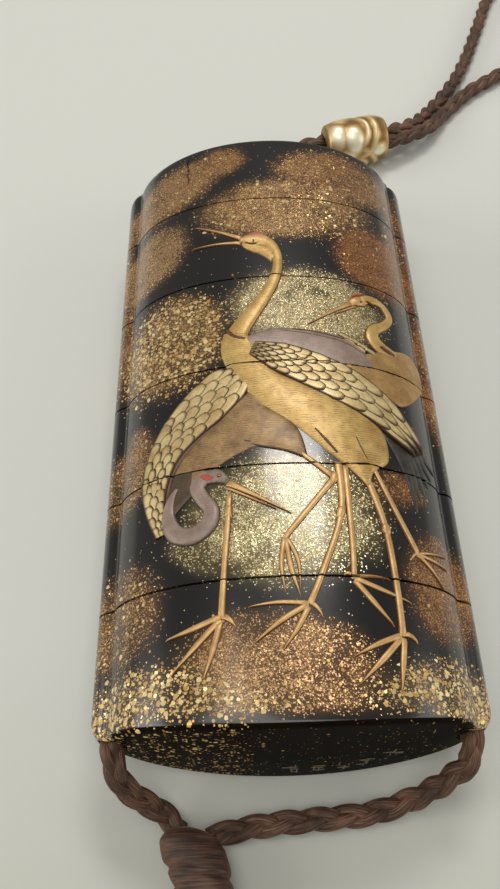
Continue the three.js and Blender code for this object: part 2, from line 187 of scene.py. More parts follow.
def add_node(material, kind, settings, links):
    """Adds a shader node, sets its sockets and properties, and links its inputs."""
    node = material.node_tree.nodes.new(kind)
    for key, value in settings.items():
        if isinstance(key, int) or key in node.inputs:
            node.inputs[key].default_value = value
        else:
            setattr(node, key, value)
    for key, socket in links.items():
        material.node_tree.links.new(socket, node.inputs[key])
    return node


def new_material(name):
    material = bpy.data.materials.new(name)
    material.use_nodes = True
    return material, material.node_tree.nodes["Principled BSDF"]


def link(material, socket, shader, name):
    material.node_tree.links.new(socket, shader.inputs[name])


def set_sockets(shader, values):
    for name, value in values.items():
        shader.inputs[name].default_value = value


def object_place(material):
    return add_node(material, "ShaderNodeTexCoord", {}, {}).outputs["Object"]


def noise(material, place, scale, detail, roughness=0.5):
    """The value of a noise texture."""
    settings = {"Scale": scale, "Detail": detail, "Roughness": roughness}
    return add_node(material, "ShaderNodeTexNoise", settings, {"Vector": place}).outputs["Fac"]


def bump(material, shader, height, strength, distance):
    """Tilts the shader's normal by a height."""
    node = add_node(material, "ShaderNodeBump", {"Strength": strength, "Distance": distance},
                    {"Height": height})
    link(material, node.outputs["Normal"], shader, "Normal")


def math_node(material, operation, *values):
    """A math node over sockets and plain numbers."""
    settings = {i: v for i, v in enumerate(values) if isinstance(v, (int, float))}
    links = {i: v for i, v in enumerate(values) if not isinstance(v, (int, float))}
    return add_node(material, "ShaderNodeMath", {"operation": operation, **settings},
                    links).outputs["Value"]


def ramp(material, socket, stops):
    """A colour ramp of (place, hex colour) stops."""
    node = add_node(material, "ShaderNodeValToRGB", {}, {"Fac": socket})
    elements = node.color_ramp.elements
    while len(elements) < len(stops):
        elements.new(0.5)
    for element, (place, colour) in zip(elements, stops):
        element.position = place
        element.color = linear(colour)
    return node.outputs["Color"]


# Plaited silk: dyed filament silk, a strand being a bundle of fine parallel fibres that shine along
# it. In the knot's drawn turns the fibres lie round the knot, a little aslant.
def silk_material(name, dark, middle, light, wound=False):
    silk, shader = new_material(name)
    place = object_place(silk)
    if wound:
        lie = {"Rotation": (0.0, 0.1, -0.3), "Scale": (190.0, 4600.0, 420.0)}
        fibre_place = add_node(silk, "ShaderNodeMapping", lie, {"Vector": place})
    else:
        uv = add_node(silk, "ShaderNodeUVMap", {"uv_map": "UVMap"}, {}).outputs["UV"]
        fibre_place = add_node(silk, "ShaderNodeMapping", {"Scale": (0.35, 34.0, 1.0)}, {"Vector": uv})
    fibres = noise(silk, fibre_place.outputs["Vector"], 1.0, 3.0, 0.65)
    mixed = math_node(silk, "MULTIPLY_ADD", noise(silk, place, 260.0, 2.0), 0.45, fibres)
    colour = ramp(silk, mixed, [(0.5, dark), (0.72, middle), (0.95, light)])
    link(silk, colour, shader, "Base Color")
    bump(silk, shader, fibres, 0.5, 0.00012)
    set_sockets(shader, {"Roughness": 0.6, "Sheen Weight": 0.3, "Sheen Roughness": 0.4,
                         "Sheen Tint": linear("#A07860")})
    return silk


silk = silk_material("plaited silk", "#1A100A", "#48301F", "#8E6850")
cord_line, cord_length = smooth_line(np.array(CORD_ROUTE_MM) / 1000, CORD_STEP)
cord = mesh_piece("silk_cord", plait(cord_line))
cord.data.materials.append(silk)
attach(cord, "root")
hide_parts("cord")


# The knot
# Both ends of the cord are knotted together below the base: a broad smooth turn of the same silk,
# drawn tight round them and leaning to the right, and two short cut ends that lie on the surface.
KNOT_TOP = (-0.0131, -0.0531)
KNOT_BOTTOM = (-0.0086, -0.0630)
KNOT_HIGH = 0.0034
KNOT_SIDES = 64
KNOT_WIDE = [(0.0, 0.0025), (0.12, 0.0033), (0.3, 0.0036), (0.5, 0.0034), (0.8, 0.0027), (1.0, 0.0022)]
TAIL_ROUTES_MM = [
    [(-12.6, -59.6, 3.0), (-13.4, -63.6, 1.8), (-14.6, -68.6, 1.5), (-15.4, -73.9, 1.5)],
    [(-9.6, -59.6, 3.0), (-8.6, -63.6, 1.8), (-8.0, -68.6, 1.5), (-7.8, -73.9, 1.5)],
]


def knot_body():
    """Rings down the knot's leaning length: blunt at the top, a shallow fold, narrower below."""
    rings = []
    around = np.linspace(0, 2 * math.pi, KNOT_SIDES, endpoint=False)
    for t in np.linspace(0, 1, 61):
        end = (1 - abs(2 * t - 1) ** 7) ** 0.5
        wide = float(np.interp(t, *zip(*KNOT_WIDE)))
        fold = np.exp(-((t - 0.5 - 0.12 * np.cos(around)) / 0.035) ** 2)
        swell = 1 - 0.1 * fold + 0.03 * np.sin(3 * around + 6 * t)
        x = KNOT_TOP[0] + (KNOT_BOTTOM[0] - KNOT_TOP[0]) * t + wide * end * swell * np.cos(around)
        slant = 0.0005 * np.cos(around) * math.sin(math.pi * t)
        y = KNOT_TOP[1] + (KNOT_BOTTOM[1] - KNOT_TOP[1]) * t + slant
        z = np.maximum(KNOT_HIGH * (1 + 0.92 * end * swell * np.sin(around)), 0.0001)
        rings.append(np.stack([x, y, z], 1))
    return np.array(rings[1:-1])


winding = knot_body()
tail_bodies = [body for route in TAIL_ROUTES_MM
               for body in plait(smooth_line(np.array(route) / 1000, CORD_STEP)[0])]
knot = mesh_piece("silk_knot", [winding] + tail_bodies)
knot.data.materials.append(silk_material("knot silk", "#180F0A", "#3C271A", "#6A4936", wound=True))
knot.data.materials.append(silk)
winding_faces = (len(winding) + 1) * KNOT_SIDES
for face in knot.data.polygons:
    face.material_index = 0 if face.index < winding_faces else 1
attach(knot, "root")
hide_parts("knot")


# The bead
# A gilt metal slide bead, chased all round in swelling leaf forms and arches, with one oval hole
# that both strands run through. Its high places are painted pale, burnish with a painted highlight
# over it, and its hollows are brown.
BEAD_CENTRE = Vector((0.0186, 0.0699, 0.0046))
BEAD_TURN = math.radians(10)
BEAD_RADIUS = 0.0045
BEAD_END_RADIUS = 0.0034
BEAD_HALF = 0.0061
BEAD_HOLE = (0.0066, 0.0035)
BEAD_SIDES = 120
BEAD_RINGS = 80
BEAD_RELIEF = 0.00055
BEAD_SUNK = 0.4
BEAD_LUMPS = [(-0.68, 2.1, 0.26, 0.6, 0.85), (-0.16, 2.4, 0.28, 0.6, 1.0), (0.62, 3.0, 0.26, 0.3, 0.8),
              (-0.5, 1.1, 0.3, 0.34, 0.6), (-0.4, 3.1, 0.3, 0.3, 0.6)]


def turned_aside(angle, middle):
    """How far an angle lies from another, from -pi to pi."""
    return math.atan2(math.sin(angle - middle), math.cos(angle - middle))


def barrel_radius(t):
    """The bead's radius without its chasing, at t from -1 to 1 along it."""
    return BEAD_END_RADIUS + (BEAD_RADIUS - BEAD_END_RADIUS) * math.sqrt(max(0.0, 1 - abs(t) ** 2.6))


def bead_radius(t, angle):
    """The radius with its chasing: three like groups of leaf lumps and two arches."""
    work = 0.0
    for group in (0.0, 2.094, 4.189):
        for place, turn, long, wide, high in BEAD_LUMPS:
            aside = turned_aside(angle, turn + group) / wide
            work = max(work, high * math.exp(-((((t - place) / long) ** 2 + aside**2) ** 1.4)))
        aside = turned_aside(angle, 2.0 + group)
        away = math.hypot((t + 0.1) / 0.46, aside / 0.85)
        side = 1 / (1 + math.exp(-9 * (t - 0.02)))
        work = max(work, 0.62 * side * math.exp(-((away - 0.9) / 0.16) ** 2))
        work = max(work, 0.5 * side * math.exp(-((away - 1.5) / 0.2) ** 2))
    fade = max(0.0, 1 - (t / 0.95) ** 10)
    end = 0.0005 * max(0.0, (abs(t) - 0.9) / 0.1) ** 2
    return barrel_radius(t) + fade * BEAD_RELIEF * (work - BEAD_SUNK) - end


def only_selected(piece):
    bpy.ops.object.select_all(action="DESELECT")
    piece.select_set(True)
    bpy.context.view_layer.objects.active = piece


def apply_modifier(piece, kind, settings):
    """Adds a modifier with its settings and applies it."""
    only_selected(piece)
    modifier = piece.modifiers.new(kind.lower(), kind)
    for key, value in settings.items():
        setattr(modifier, key, value)
    bpy.ops.object.modifier_apply(modifier=modifier.name)


def combine(piece, operation, tool):
    apply_modifier(piece, "BOOLEAN", {"operation": operation, "object": tool, "solver": "EXACT"})
    bpy.data.objects.remove(tool)


bpy.ops.object.select_all(action="DESELECT")
bpy.ops.mesh.primitive_cylinder_add(vertices=BEAD_SIDES, radius=BEAD_RADIUS, depth=2 * BEAD_HALF,
                                    end_fill_type="NGON", rotation=(0, math.pi / 2, 0))
bead = bpy.context.object
bead.name = "gilt_bead"
bpy.ops.object.transform_apply(location=True, rotation=True, scale=True)
bpy.ops.object.mode_set(mode="EDIT")
for place in np.linspace(-BEAD_HALF, BEAD_HALF, BEAD_RINGS + 2)[1:-1]:
    bpy.ops.mesh.select_all(action="SELECT")
    bpy.ops.mesh.bisect(plane_co=(place, 0, 0), plane_no=(1, 0, 0))
bpy.ops.object.mode_set(mode="OBJECT")
for vertex in bead.data.vertices:
    share = max(-1.0, min(1.0, vertex.co.x / BEAD_HALF))
    angle = math.atan2(vertex.co.z, vertex.co.y)
    radius = bead_radius(share, angle)
    vertex.co.y = radius * math.cos(angle)
    vertex.co.z = radius * math.sin(angle)
bpy.ops.mesh.primitive_cylinder_add(vertices=48, radius=0.5, depth=4 * BEAD_HALF,
                                    rotation=(0, math.pi / 2, 0))
bead_hole = bpy.context.object
bead_hole.scale = (BEAD_HOLE[1], BEAD_HOLE[0], 1)
bpy.ops.object.transform_apply(location=True, rotation=True, scale=True)


combine(bead, "DIFFERENCE", bead_hole)
raised_layer = bead.data.attributes.new("raised", "FLOAT", "POINT")
for vertex in bead.data.vertices:
    share = max(-1.0, min(1.0, vertex.co.x / BEAD_HALF))
    past_barrel = math.hypot(vertex.co.y, vertex.co.z) - barrel_radius(share)
    stands = past_barrel / BEAD_RELIEF + BEAD_SUNK
    raised_layer.data[vertex.index].value = max(0.0, min(1.0, stands))
bead.rotation_euler = (0, 0, BEAD_TURN)
bead.location = BEAD_CENTRE
bpy.ops.object.transform_apply(location=True, rotation=True, scale=True)
bpy.ops.object.shade_smooth_by_angle(angle=math.radians(40))

# Gilt copper, softly burnished: pale on the raised work, partly a painted highlight, and brown in
# the hollows round it.
gilt, gilt_shader = new_material("chased gilt metal")
wear = noise(gilt, object_place(gilt), 420.0, 4.0)
raised_share = add_node(gilt, "ShaderNodeAttribute", {"attribute_name": "raised"}, {})
# The raised share lifts the colour toward near-white gold, a painted highlight on all the raised work.
worn = math_node(gilt, "MULTIPLY_ADD", wear, 0.3, raised_share.outputs["Fac"])
link(gilt, ramp(gilt, worn, [(0.22, "#8E6C3E"), (0.5, "#D4B47A"), (0.85, "#FBF2D6")]),
     gilt_shader, "Base Color")
set_sockets(gilt_shader, {"Metallic": 0.5, "Roughness": 0.4})
bump(gilt, gilt_shader, wear, 0.25, 0.0001)
bead.data.materials.append(gilt)
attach(bead, "root")
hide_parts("bead")


# The lid and the trays
# Thin wood under black lacquer: a lens section with a half-round cord runner down each side, cut at
# five seams into a lid and five trays. Each tray's thin riser fits up inside the piece above it.
CASE_WIDTH = 0.046
CASE_THICK = 0.0228
BODY_HALF = 0.02125
BODY_POWER = 2.09
BACK_FLAT = 0.006
RUNNER_RADIUS = 0.0026
VALLEY_RADIUS = 0.0009
SHOULDER_RADIUS = 0.0018
CHANNEL_RADIUS = 0.00175
CHANNEL_WALL = 0.0008
END_DOME = 0.0017
END_EDGE = 0.0007
SIDE_LENGTH = 0.091
END_RINGS_FROM = 0.0031
SIDE_RINGS = 86
SEAMS = (0.0328, 0.0161, 0.0001, -0.0156, -0.0306)
SEAM_GAP = 0.00025
SKIRT_WALL = 0.0011
RISER_WALL = 0.0008
RISER_HEIGHT = 0.0035
FLOOR_THICK = 0.0012
END_THICK = 0.0018
LID_END_THICK = 0.001
FIT = 0.0003
OVERCUT = 0.001
CHANNEL_SIDES = 32
SECTION_STEPS = (56, 10, 16)
HOLLOW_POWER = 2.3
HALF_THICK = CASE_THICK / 2
MIDDLE = HALF_THICK * (1 - (BACK_FLAT / 2 / BODY_HALF) ** BODY_POWER) ** (1 / BODY_POWER)
RUNNER_X = CASE_WIDTH / 2 - RUNNER_RADIUS
RECESS_HALF = RUNNER_X - CHANNEL_RADIUS - CHANNEL_WALL


def lens_height(x, half, height, power):
    return height * np.maximum(0.0, 1 - np.abs(np.asarray(x) / half) ** power) ** (1 / power)


def lens_point(x):
    return np.array([x, float(lens_height(x, BODY_HALF, HALF_THICK, BODY_POWER))])


def quarter_section(lens_steps, valley_steps, runner_steps):
    """Lens, hollow valley and half-round runner, from the middle of the front to the right edge."""
    runner = np.array([RUNNER_X, 0.0])

    def valley_centre(x):
        slope = lens_point(x + 1e-6) - lens_point(x - 1e-6)
        return lens_point(x) + VALLEY_RADIUS * np.array([-slope[1], slope[0]]) / np.linalg.norm(slope)

    low, high = RUNNER_X - RUNNER_RADIUS - VALLEY_RADIUS, BODY_HALF * 0.9995
    for _ in range(50):
        x = (low + high) / 2
        if np.linalg.norm(valley_centre(x) - runner) > RUNNER_RADIUS + VALLEY_RADIUS:
            low = x
        else:
            high = x
    centre = valley_centre(low)
    last = math.asin(low / BODY_HALF)
    points = [lens_point(BODY_HALF * math.sin(last * i / lens_steps)) for i in range(lens_steps + 1)]
    start = math.atan2(*(lens_point(low) - centre)[::-1])
    end = math.atan2(*(runner - centre)[::-1])
    turn = math.atan2(math.sin(end - start), math.cos(end - start))
    for i in range(1, valley_steps + 1):
        angle = start + turn * i / valley_steps
        points.append(centre + VALLEY_RADIUS * np.array([math.cos(angle), math.sin(angle)]))
    opening = math.atan2(centre[1], centre[0] - RUNNER_X)
    for i in range(1, runner_steps + 1):
        angle = opening * (1 - i / runner_steps)
        points.append(runner + RUNNER_RADIUS * np.array([math.cos(angle), math.sin(angle)]))
    return np.array(points)


def mirrored_round(quarter):
    """A whole outline from its quarter: right edge over the front to the left, and back below."""
    front = np.vstack([quarter[::-1], quarter[1:] * (-1, 1)])
    return np.vstack([front, front[-2:0:-1] * (1, -1)])


def end_rise(x):
    """How far the end stands past the side length at x: a low dome, rounded off at the runners."""
    past = np.clip(np.abs(x) - (CASE_WIDTH / 2 - SHOULDER_RADIUS), 0, SHOULDER_RADIUS)
    return (END_DOME * (1 - (x / BODY_HALF) ** 2)
            - (SHOULDER_RADIUS - np.sqrt(SHOULDER_RADIUS**2 - past**2)))


def case_rows(outline):
    """Rings of the whole case from the middle of the base, round its edges, to the middle of the lid."""
    towards = np.roll(outline, -1, 0) - np.roll(outline, 1, 0)
    inward = np.stack([-towards[:, 1], towards[:, 0]], 1)
    inward /= np.linalg.norm(inward, axis=1)[:, None]

    def ring(points, y):
        return np.stack([points[:, 0], y, np.maximum(points[:, 1], -MIDDLE) + MIDDLE], 1)

    half = SIDE_LENGTH / 2
    end = []
    for share in (0.12, 0.3, 0.5, 0.68, 0.84, 0.95):
        points = (outline + inward * END_EDGE) * share
        end.append(ring(points, half + end_rise(points[:, 0])))
    for angle in np.radians([90, 72, 54, 36, 18, 0]):
        points = outline + inward * END_EDGE * (1 - math.cos(angle))
        end.append(ring(points, half + end_rise(points[:, 0]) - END_EDGE * (1 - math.sin(angle))))
    straight = half - END_RINGS_FROM
    edge = end[-1][:, 1]
    for share in (0.66, 0.33):
        end.append(ring(outline, straight + (edge - straight) * share))
    middle = [ring(outline, np.full(len(outline), y))
              for y in np.linspace(-straight, straight, SIDE_RINGS)]
    base = [points * (1, -1, 1) for points in end]
    return np.array(base + middle + end[::-1])


def vertex_places(piece):
    places = np.zeros(len(piece.data.vertices) * 3)
    piece.data.vertices.foreach_get("co", places)
    return places.reshape(-1, 3)


def wrapped_grid(name, rows):
    """A closed body: a grid wrapped round the rings of points in rows, with both its ends filled."""
    count, around = rows.shape[:2]
    bpy.ops.mesh.primitive_grid_add(x_subdivisions=around, y_subdivisions=count - 1, size=2)
    body = bpy.context.object
    body.name = name
    places = vertex_places(body)
    column = np.rint((places[:, 0] + 1) / 2 * around).astype(int) % around
    row = np.rint((places[:, 1] + 1) / 2 * (count - 1)).astype(int)
    body.data.vertices.foreach_set("co", rows[row, column].ravel())
    only_selected(body)
    bpy.ops.object.mode_set(mode="EDIT")
    bpy.ops.mesh.select_all(action="SELECT")
    bpy.ops.mesh.remove_doubles(threshold=1e-7)
    bpy.ops.mesh.fill_holes(sides=0)
    bpy.ops.mesh.select_all(action="SELECT")
    bpy.ops.mesh.normals_make_consistent(inside=False)
    bpy.ops.object.mode_set(mode="OBJECT")
    return body


def lens_prism(name, half, height, from_y, to_y):
    """A plain closed prism along the case with a lens section."""
    x = half * np.sin(np.linspace(0, math.pi / 2, 25))
    quarter = np.stack([x, lens_height(x, half, height, HOLLOW_POWER)], 1)
    outline = mirrored_round(quarter)
    rows = [np.stack([outline[:, 0], np.full(len(outline), y), outline[:, 1] + MIDDLE], 1)
            for y in (from_y, to_y)]
    return wrapped_grid(name, np.array(rows))


def keep_between(piece, low, high, fill=True):
    """Cuts a piece off square at both y places and keeps what lies between them."""
    only_selected(piece)
    bpy.ops.object.mode_set(mode="EDIT")
    for y, side in ((low, {"clear_inner": True}), (high, {"clear_outer": True})):
        if y is not None:
            bpy.ops.mesh.select_all(action="SELECT")
            bpy.ops.mesh.bisect(plane_co=(0, y, 0), plane_no=(0, 1, 0), use_fill=fill, **side)
    bpy.ops.object.mode_set(mode="OBJECT")


def copy_of(piece, name):
    copy = bpy.data.objects.new(name, piece.data.copy())
    scene.collection.objects.link(copy)
    return copy


def joined(pieces):
    only_selected(pieces[0])
    for piece in pieces[1:]:
        piece.select_set(True)
    bpy.ops.object.join()
    return pieces[0]


outline = mirrored_round(quarter_section(*SECTION_STEPS))
whole_case = wrapped_grid("whole_case", case_rows(outline))

# The two cord channels are bored straight through the runners from end to end.
bores = []
for x in (-RUNNER_X, RUNNER_X):
    bpy.ops.object.select_all(action="DESELECT")
    bpy.ops.mesh.primitive_cylinder_add(vertices=CHANNEL_SIDES, radius=CHANNEL_RADIUS,
                                        depth=SIDE_LENGTH + 0.01, location=(x, 0, MIDDLE),
                                        rotation=(math.pi / 2, 0, 0))
    bores.append(bpy.context.object)
channel_tool = joined(bores)
bpy.ops.object.transform_apply(location=True, rotation=True, scale=True)
combine(whole_case, "DIFFERENCE", channel_tool)

# An old crack runs down the lid's left shoulder, a dark hairline in the lacquer. Places in mm.
CRACK = [(-12.3, 38.6), (-12.2, 39.9), (-12.4, 41.2), (-12.25, 42.5), (-12.45, 43.8), (-12.3, 45.0)]
CRACK_X, CRACK_Y = zip(*CRACK)
CRACK_HALF_MM = 0.085
CRACK_END_HALF_MM = 0.02
CRACK_DEPTH = 0.00035
bpy.ops.object.select_all(action="DESELECT")
bpy.ops.mesh.primitive_grid_add(x_subdivisions=1, y_subdivisions=len(CRACK) - 1, size=2)
crack = bpy.context.object
for vertex in crack.data.vertices:
    row = round((vertex.co.y + 1) / 2 * (len(CRACK) - 1))
    x, y = CRACK[row]
    wide = CRACK_HALF_MM if 0 < row < len(CRACK) - 1 else CRACK_END_HALF_MM
    surface = MIDDLE + float(lens_height(x / 1000, BODY_HALF, HALF_THICK, BODY_POWER))
    vertex.co = ((x + wide * vertex.co.x) / 1000, y / 1000, surface - CRACK_DEPTH)
apply_modifier(crack, "SOLIDIFY", {"thickness": 0.001, "offset": 1})
combine(whole_case, "DIFFERENCE", crack)

sections = []
edges = [None, *SEAMS, None]
for number, name in enumerate(("lid_shell", "tray_1", "tray_2", "tray_3", "tray_4", "tray_5")):
    top, bottom = edges[number], edges[number + 1]
    high = None if top is None else top - SEAM_GAP / 2
    low = None if bottom is None else bottom + SEAM_GAP / 2
    section = copy_of(whole_case, name)
    keep_between(section, low, high)
    riser_rise = HALF_THICK - SKIRT_WALL - FIT
    if bottom is not None:
        recess = lens_prism("recess", RECESS_HALF, HALF_THICK - SKIRT_WALL,
                            bottom - OVERCUT, bottom + RISER_HEIGHT + FIT)
        combine(section, "DIFFERENCE", recess)
    inner_half, inner_rise = RECESS_HALF - FIT - RISER_WALL, riser_rise - RISER_WALL
    if top is None:
        inside = lens_prism("inside", inner_half, inner_rise, bottom - OVERCUT,
                            SIDE_LENGTH / 2 - LID_END_THICK)
    else:
        riser = lens_prism("riser", RECESS_HALF - FIT, riser_rise, top - OVERCUT, top + RISER_HEIGHT)
        combine(section, "UNION", riser)
        floor_top = (-SIDE_LENGTH / 2 + END_THICK if bottom is None
                     else bottom + RISER_HEIGHT + FIT + FLOOR_THICK)
        inside = lens_prism("inside", inner_half, inner_rise, floor_top, top + RISER_HEIGHT + OVERCUT)
    combine(section, "DIFFERENCE", inside)
    sections.append((section, low, high))
bpy.data.objects.remove(whole_case)

# The ground is sprinkled in clouds, each given in mm from the middle of the front: place, half width
# and height, lean, dust, coarse flakes, and tone from reddish brown (-1) to pale gold (1).
FRONT_CLOUDS = [
    (-15.5, 38.2, 8.6, 4.8, 22, 1.06, 0.12, -0.45), (-7.4, 42.2, 4.4, 3.0, 15, 1.02, 0.1, -0.7),
    (2.8, 30.8, 12.0, 6.2, 4, 1.1, 0.42, -0.4), (11.7, 39.2, 9.7, 5.2, -4, 1.04, 0.15, -0.6),
    (16.6, 21.5, 6.2, 6.9, 40, 1.06, 0.0, -0.9), (-18.6, 24.5, 5.4, 6.6, -50, 1.06, 0.0, -0.35),
    (20.6, 30.0, 2.4, 10.0, 0, 0.7, 0.1, -1.0), (4.6, 10.0, 10.0, 7.0, -4, 1.12, 0.0, 0.75),
    (-14.2, 6.2, 7.6, 8.4, -10, 0.8, 0.95, -0.3),
    (-22.0, 12.7, 1.6, 9.0, 0, 0.75, 0.3, -0.6), (-20.3, -13.2, 4.2, 5.9, -30, 0.82, 0.1, -0.5),
    (-18.3, -7.6, 1.8, 1.5, -30, 0.7, 0.1, -0.4), (0.4, -22.6, 10.8, 8.2, 4, 1.0, 0.0, 1.0),
    (-9.2, -26.2, 4.6, 3.2, -25, 0.72, 0.0, 0.9), (9.6, -24.2, 2.2, 4.6, 5, 0.45, 0.0, 0.9),
    (-20.2, -32.6, 5.6, 6.0, -15, 0.72, 0.35, -0.5), (-15.5, -43.8, 9.4, 4.4, -6, 0.5, 1.0, 0.1),
    (-5.0, -45.2, 5.2, 1.8, -3, 0.2, 0.7, 0.2), (-1.6, -41.2, 10.4, 6.2, -3, 0.98, 0.02, -0.45),
    (16.6, -44.0, 8.0, 4.4, 10, 0.6, 0.95, 0.1), (18.6, -30.5, 4.6, 6.4, -5, 0.92, 0.0, -0.7),
    (14.4, -18.1, 3.4, 2.3, 0, 0.85, 0.1, -0.8), (22.2, 4.5, 1.8, 11.0, 0, 0.9, 0.15, -0.8),
    (-22.6, 31.5, 1.3, 4.0, 0, 0.75, 0.1, -0.4),
]
BACK_CLOUDS = [
    (6, 33, 12, 6, 10, 0.9, 0.3, 0.2), (-14, 12, 10, 7, -12, 0.85, 0.5, 0.1),
    (12, -8, 11, 6, 8, 0.9, 0.1, 0.5), (-9, -26, 13, 6, -6, 0.9, 0.2, 0.0),
    (10, -42, 12, 5, 4, 0.7, 0.9, 0.4), (-20, 41, 8, 4, 20, 0.8, 0.2, 0.2),
]
CLOUD_REACH = 1.38
CLOUD_FADE = 0.66
SIDE_BLEND_MM = 1.6
END_FADE_MM = 0.4
BASE_FROM_MM = 45.3
BASE_HALF_MM = 20
LID_TOP_FROM_MM = 45.6
INNER_HALF_MM = 17.9
INNER_RISE_MM = 10.4
INNER_LENGTH_HALF_MM = 45
GROOVE_HALF_MM = 0.1
GROOVE_DUST = 0.45


def cloud_share(x, y, clouds):
    """Dust, flakes and tone at places in mm: full inside each cloud and fading out past its edge."""
    dust, flakes = np.zeros(len(x)), np.zeros(len(x))
    tone, weight = np.zeros(len(x)), np.full(len(x), 1e-3)
    for cx, cy, wide, high, lean, most, coarse, pale in clouds:
        angle = math.radians(lean)
        u = ((x - cx) * math.cos(angle) + (y - cy) * math.sin(angle)) / wide
        v = ((y - cy) * math.cos(angle) - (x - cx) * math.sin(angle)) / high
        inside = np.clip((CLOUD_REACH - np.sqrt(u * u + v * v)) / CLOUD_FADE, 0, 1)
        inside = inside * inside * (3 - 2 * inside)
        dust = np.maximum(dust, most * inside)
        flakes = np.maximum(flakes, coarse * inside)
        tone += pale * inside
        weight += inside
    return dust, flakes, tone / weight


def sprinkle(piece):
    """Lays the clouds on a piece as a vertex attribute: dust, flakes and tone."""
    x, y, z = (vertex_places(piece) * 1000).T
    front = np.clip((z - MIDDLE * 1000 + SIDE_BLEND_MM) / SIDE_BLEND_MM, 0, 1)
    values = [f * front + b * (1 - front) for f, b in
              zip(cloud_share(x, y, FRONT_CLOUDS), cloud_share(x, y, BACK_CLOUDS))]
    base = np.clip((-y - BASE_FROM_MM) / END_FADE_MM, 0, 1) * (np.abs(x) < BASE_HALF_MM)
    top = np.clip((y - LID_TOP_FROM_MM) / END_FADE_MM, 0, 1)
    for value, on_base in zip(values, (0.1, np.clip((-3 - x) / 9, 0, 0.4))):
        value += (on_base - value) * base
        value *= 1 - 0.7 * top
    inner = np.abs(z - MIDDLE * 1000) < lens_height(x, INNER_HALF_MM, INNER_RISE_MM, HOLLOW_POWER)
    inner &= (np.abs(x) < INNER_HALF_MM) & (np.abs(y) < INNER_LENGTH_HALF_MM)
    values[0][inner], values[1][inner] = 0.0, 0.0
    groove = np.abs(x - np.interp(y, CRACK_Y, CRACK_X)) < GROOVE_HALF_MM
    groove &= (y > CRACK_Y[0]) & (y < CRACK_Y[-1]) & (z > MIDDLE * 1000)
    values[0][groove] *= GROOVE_DUST
    values[1][groove] = 0.0
    layer = piece.data.attributes.new("sprinkle", "FLOAT_COLOR", "POINT")
    layer.data.foreach_set("color", np.stack([*values, np.ones(len(x))], 1).ravel())


def mixed_colour(material, share, first, second):
    """A colour mixed by a share from two colours, each a socket or a hex value."""
    node = add_node(material, "ShaderNodeMix", {"data_type": "RGBA"}, {0: share})
    for key, value in ((6, first), (7, second)):
        if isinstance(value, str):
            node.inputs[key].default_value = linear(value)
        else:
            material.node_tree.links.new(value, node.inputs[key])
    return node.outputs[2]


# Black lacquer with sprinkled gold: polished coats over fine gold dust of 0.17 mm, grains of 0.36 mm
# and cut flakes of 0.64 mm with uneven outlines, each lying at its own slight tilt.
def grains(material, place, size_mm, share, radius, tilt, ragged):
    """One size of grain: where it lies, its own chance value, and its tilted normal."""
    cells = add_node(material, "ShaderNodeTexVoronoi", {"Scale": 1000 / size_mm}, {"Vector": place})
    chance = add_node(material, "ShaderNodeSeparateColor", {}, {"Color": cells.outputs["Color"]})
    there = math_node(material, "LESS_THAN", chance.outputs["Red"], share)
    uneven = noise(material, place, 2600 / size_mm, 1.0)
    reach = math_node(material, "MULTIPLY_ADD", chance.outputs["Green"], 0.5 * radius, 0.6 * radius)
    reach = math_node(material, "ADD", reach,
                      math_node(material, "MULTIPLY_ADD", uneven, ragged, -0.5 * ragged))
    within = math_node(material, "LESS_THAN", cells.outputs["Distance"], reach)
    mask = math_node(material, "MULTIPLY", there, within)
    lean = add_node(material, "ShaderNodeVectorMath", {"operation": "MULTIPLY_ADD",
                                                       1: (tilt, tilt, tilt),
                                                       2: (-tilt / 2, -tilt / 2, -tilt / 2)},
                    {0: cells.outputs["Color"]}).outputs["Vector"]
    return mask, chance.outputs["Blue"], lean


